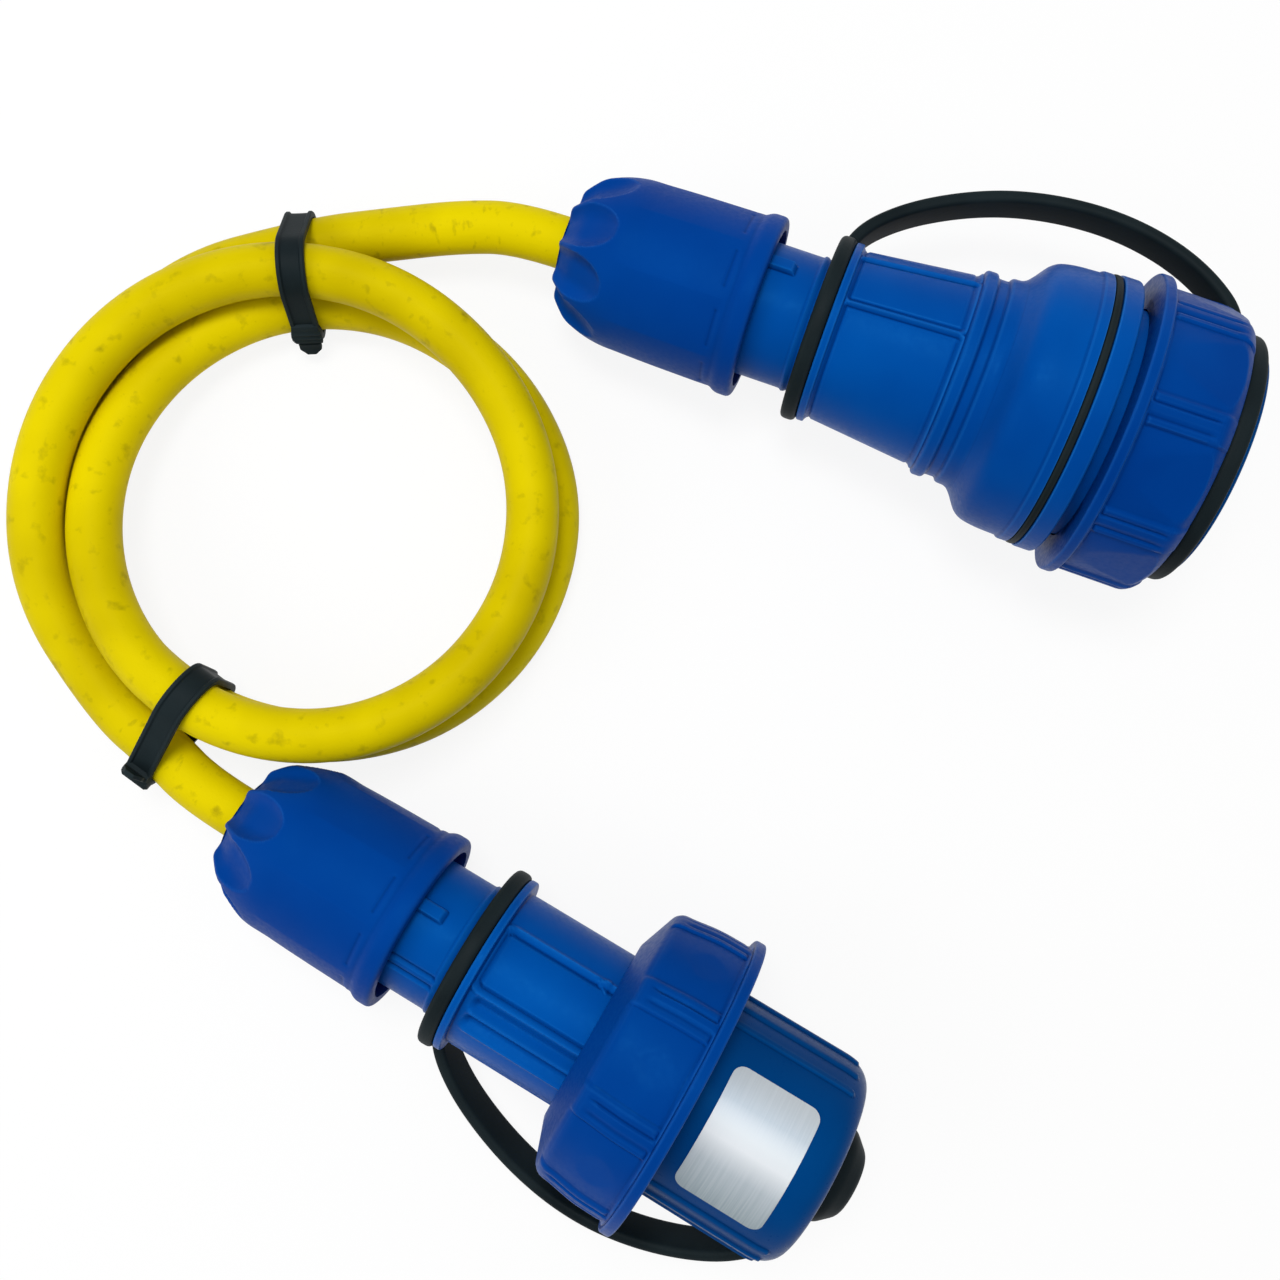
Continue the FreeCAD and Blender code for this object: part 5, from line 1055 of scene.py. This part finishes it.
for name, head, sizes, rays, body, node in (
        ("plug_face_ring", PLUG, (18.7, 24.0, 91.5, 94.0, 0.5), 180, "cord_set", "plug_face_seal"),
        ("collar_ring", SOCKET, (27.35, 29.1, 109.1, 110.7, 0.7), 260, "cord_set", "collar_oring"),
        ("lid_face_ring", SOCKET, (17.5, 24.2, 130.4, 132.6, 0.5), 180, "lid", "lid_seal")):
    stands_for(add_piece(name, rubber_ring(name, head, *sizes, rays)), body, "black_rubber", node)


# Tethers: a black rubber strap ties the cap to the plug and the lid to the socket. Each is one moulding
# with a ring at both ends. One sits behind the handle's flange, the other on the cap's stud or the
# lid's boss.

STRAP_WIDTH = 8.0
STRAP_THICKNESS = 2.8
STRAP_STEPS = 10
STRAP_ORDER = 4
STRAP_ROUND = 1.1
SOCKET_STRAP = [
    (17.2, 56.5), (22.0, 56.8), (28.4, 61.6), (35.2, 70.6), (41.6, 83.2), (44.8, 97.0), (45.2, 111.0),
    (42.0, 124.5), (36.0, 134.6), (31.0, 138.8), (25.0, 139.3),
]
PLUG_STRAP = [
    (17.0, 56.5), (21.5, 56.7), (28.8, 62.5), (35.6, 73.0), (40.8, 85.5), (43.0, 99.0), (41.0, 112.0),
    (35.4, 124.5), (26.5, 135.4), (15.0, 139.3), (7.4, 139.5),
]


def strap_mesh(name, points, azimuth):
    """A flat strap with round edges in the plane through a head's axis at an azimuth."""
    side = Vector((math.cos(math.radians(azimuth)), math.sin(math.radians(azimuth)), 0))
    across = Vector((0, 0, 1)).cross(side)
    places = [side * reach + Vector((0, 0, station)) for reach, station in points]
    line = line_points(name + "_line", places, STRAP_ORDER, STRAP_STEPS)
    half_width, half = STRAP_WIDTH / 2, STRAP_THICKNESS / 2
    section = []
    for corner_x, corner_y, start in ((1, 1, 0), (-1, 1, 90), (-1, -1, 180), (1, -1, 270)):
        for step in range(5):
            angle = math.radians(start + 22.5 * step)
            section.append((corner_x * (half_width - STRAP_ROUND) + STRAP_ROUND * math.cos(angle),
                            corner_y * (half - STRAP_ROUND) + STRAP_ROUND * math.sin(angle)))
    frames = []
    for number, point in enumerate(line):
        before, after = line[max(number - 1, 0)], line[min(number + 1, len(line) - 1)]
        tangent = (after - before).normalized()
        frames.append((point, across, across.cross(tangent)))
    return swept(name, frames, section, False)


def button_mesh(name, head):
    """The tether's round end, pressed over the cap's stud so that it covers the stud's head."""
    outside = [(4.25, 137.2), (10.0, 137.2, 0.6), (10.0, 139.8, 1.4), (6.4, 143.8, 1.6), (0.0, 143.95)]
    inside = [(0.0, 143.95), (0.0, 143.5), (5.45, 143.5), (5.45, 141.95), (4.25, 141.95), (4.25, 137.2)]
    mesh = turned_mesh(name, outside, inside, 160, fine=0.4)
    mesh.transform(head)
    return mesh


def add_tether(name, head, azimuth, points, end):
    """A tether of three closed forms: the ring on the neck, the strap, and its far end."""
    strap = strap_mesh(name + "_strap", points, azimuth)
    strap.transform(head @ Matrix.Scale(MM, 4))
    neck = rubber_ring(name + "_neck", head, 14.25, 19.8, 54.8, 58.2, 1.3, 200)
    mesh = joined(name + "_rubber", [neck, strap, end])
    if "edge" in mesh.attributes:
        mesh.attributes.remove(mesh.attributes["edge"])
    finish_shell(mesh, black_rubber)
    tether = add_piece(name + "_rubber", mesh)
    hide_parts(name)
    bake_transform(tether)


boss_ring = rubber_ring("boss_ring", SOCKET, 22.95, 26.4, 137.5, 141.1, 1.1, 200)
add_tether("socket_tether", SOCKET, -8.0, SOCKET_STRAP, boss_ring)
add_tether("plug_tether", PLUG, 208.0, PLUG_STRAP, button_mesh("button", PLUG))


# Inner pieces: what the shells hold. Brass contacts and pins, steel terminal screws, a dark contact
# carrier, nylon clamps, and the three cores. They show when the cap or lid is off.

CORE_BLUE = (0.02, 0.07, 0.38)
CORE_BROWN = (0.14, 0.05, 0.02)
CORE_STOPS = [
    (0.0, CORE_BLUE), (0.45, CORE_BLUE), (0.5, CORE_BROWN), (0.62, CORE_BROWN), (0.67, (0.10, 0.34, 0.03)),
    (1.0, (0.45, 0.42, 0.02)),
]
PLAIN_FINISHES = {
    "contact_brass": ((0.60, 0.40, 0.15), (0.80, 0.58, 0.26), 0.24, 1.0, 2500, 0.00002),
    "screw_steel": ((0.42, 0.43, 0.44), (0.62, 0.63, 0.65), 0.28, 1.0, 2200, 0.00003),
    "clamp_plastic": ((0.035, 0.038, 0.042), (0.06, 0.063, 0.068), 0.42, 0.0, 900, 0.00005),
    "carrier_plastic": ((0.006, 0.010, 0.022), (0.012, 0.018, 0.036), 0.36, 0.0, 900, 0.00005),
}


def plain_finish(name, deep, bright, roughness, metallic, speck_scale, depth):
    """A finish with slow changes of tone and a fine grain."""
    material, tree, shader = new_material(name)
    place = place_of(tree)
    tone = noise_of(tree, place, 120, 4.0)
    feed(tree, shader, {
        "Base Color": ramp_of(tree, tone, [(0.35, deep), (0.7, bright)]), "Metallic": metallic,
        "Roughness": level_of(tree, tone, 0.3, 0.7, roughness, roughness + 0.15)})
    grain(tree, shader, noise_of(tree, place, speck_scale, 2.0), depth, 0.3)
    return material


core_insulation, tree, shader = new_material("core_insulation")
place = place_of(tree)
split = add_node(tree, "ShaderNodeSeparateXYZ", {0: place})
band = level_of(tree, split.outputs["Z"], 0.016, 0.036, 0.0, 1.0)
gloss = level_of(tree, noise_of(tree, place, 300, 2.0), 0.3, 0.7, 0.4, 0.55)
feed(tree, shader, {"Base Color": ramp_of(tree, band, CORE_STOPS), "Roughness": gloss})
finishes = {name: plain_finish(name, *values) for name, values in PLAIN_FINISHES.items()}
finishes.update({
    "black_rubber": black_rubber,
    "cable_sheath": sheath,
    "core_insulation": core_insulation,
    "blue_shell": housing_blue,
    "lid_shell": cap_blue,
    "foil": foil,
})
slots = {part["node"]: part["material_slot"] for part in frame["record"]["subparts"]}
for name, piece in frame["nodes"].items():
    piece.data.materials.clear()
    piece.data.materials.append(finishes[slots[name]])
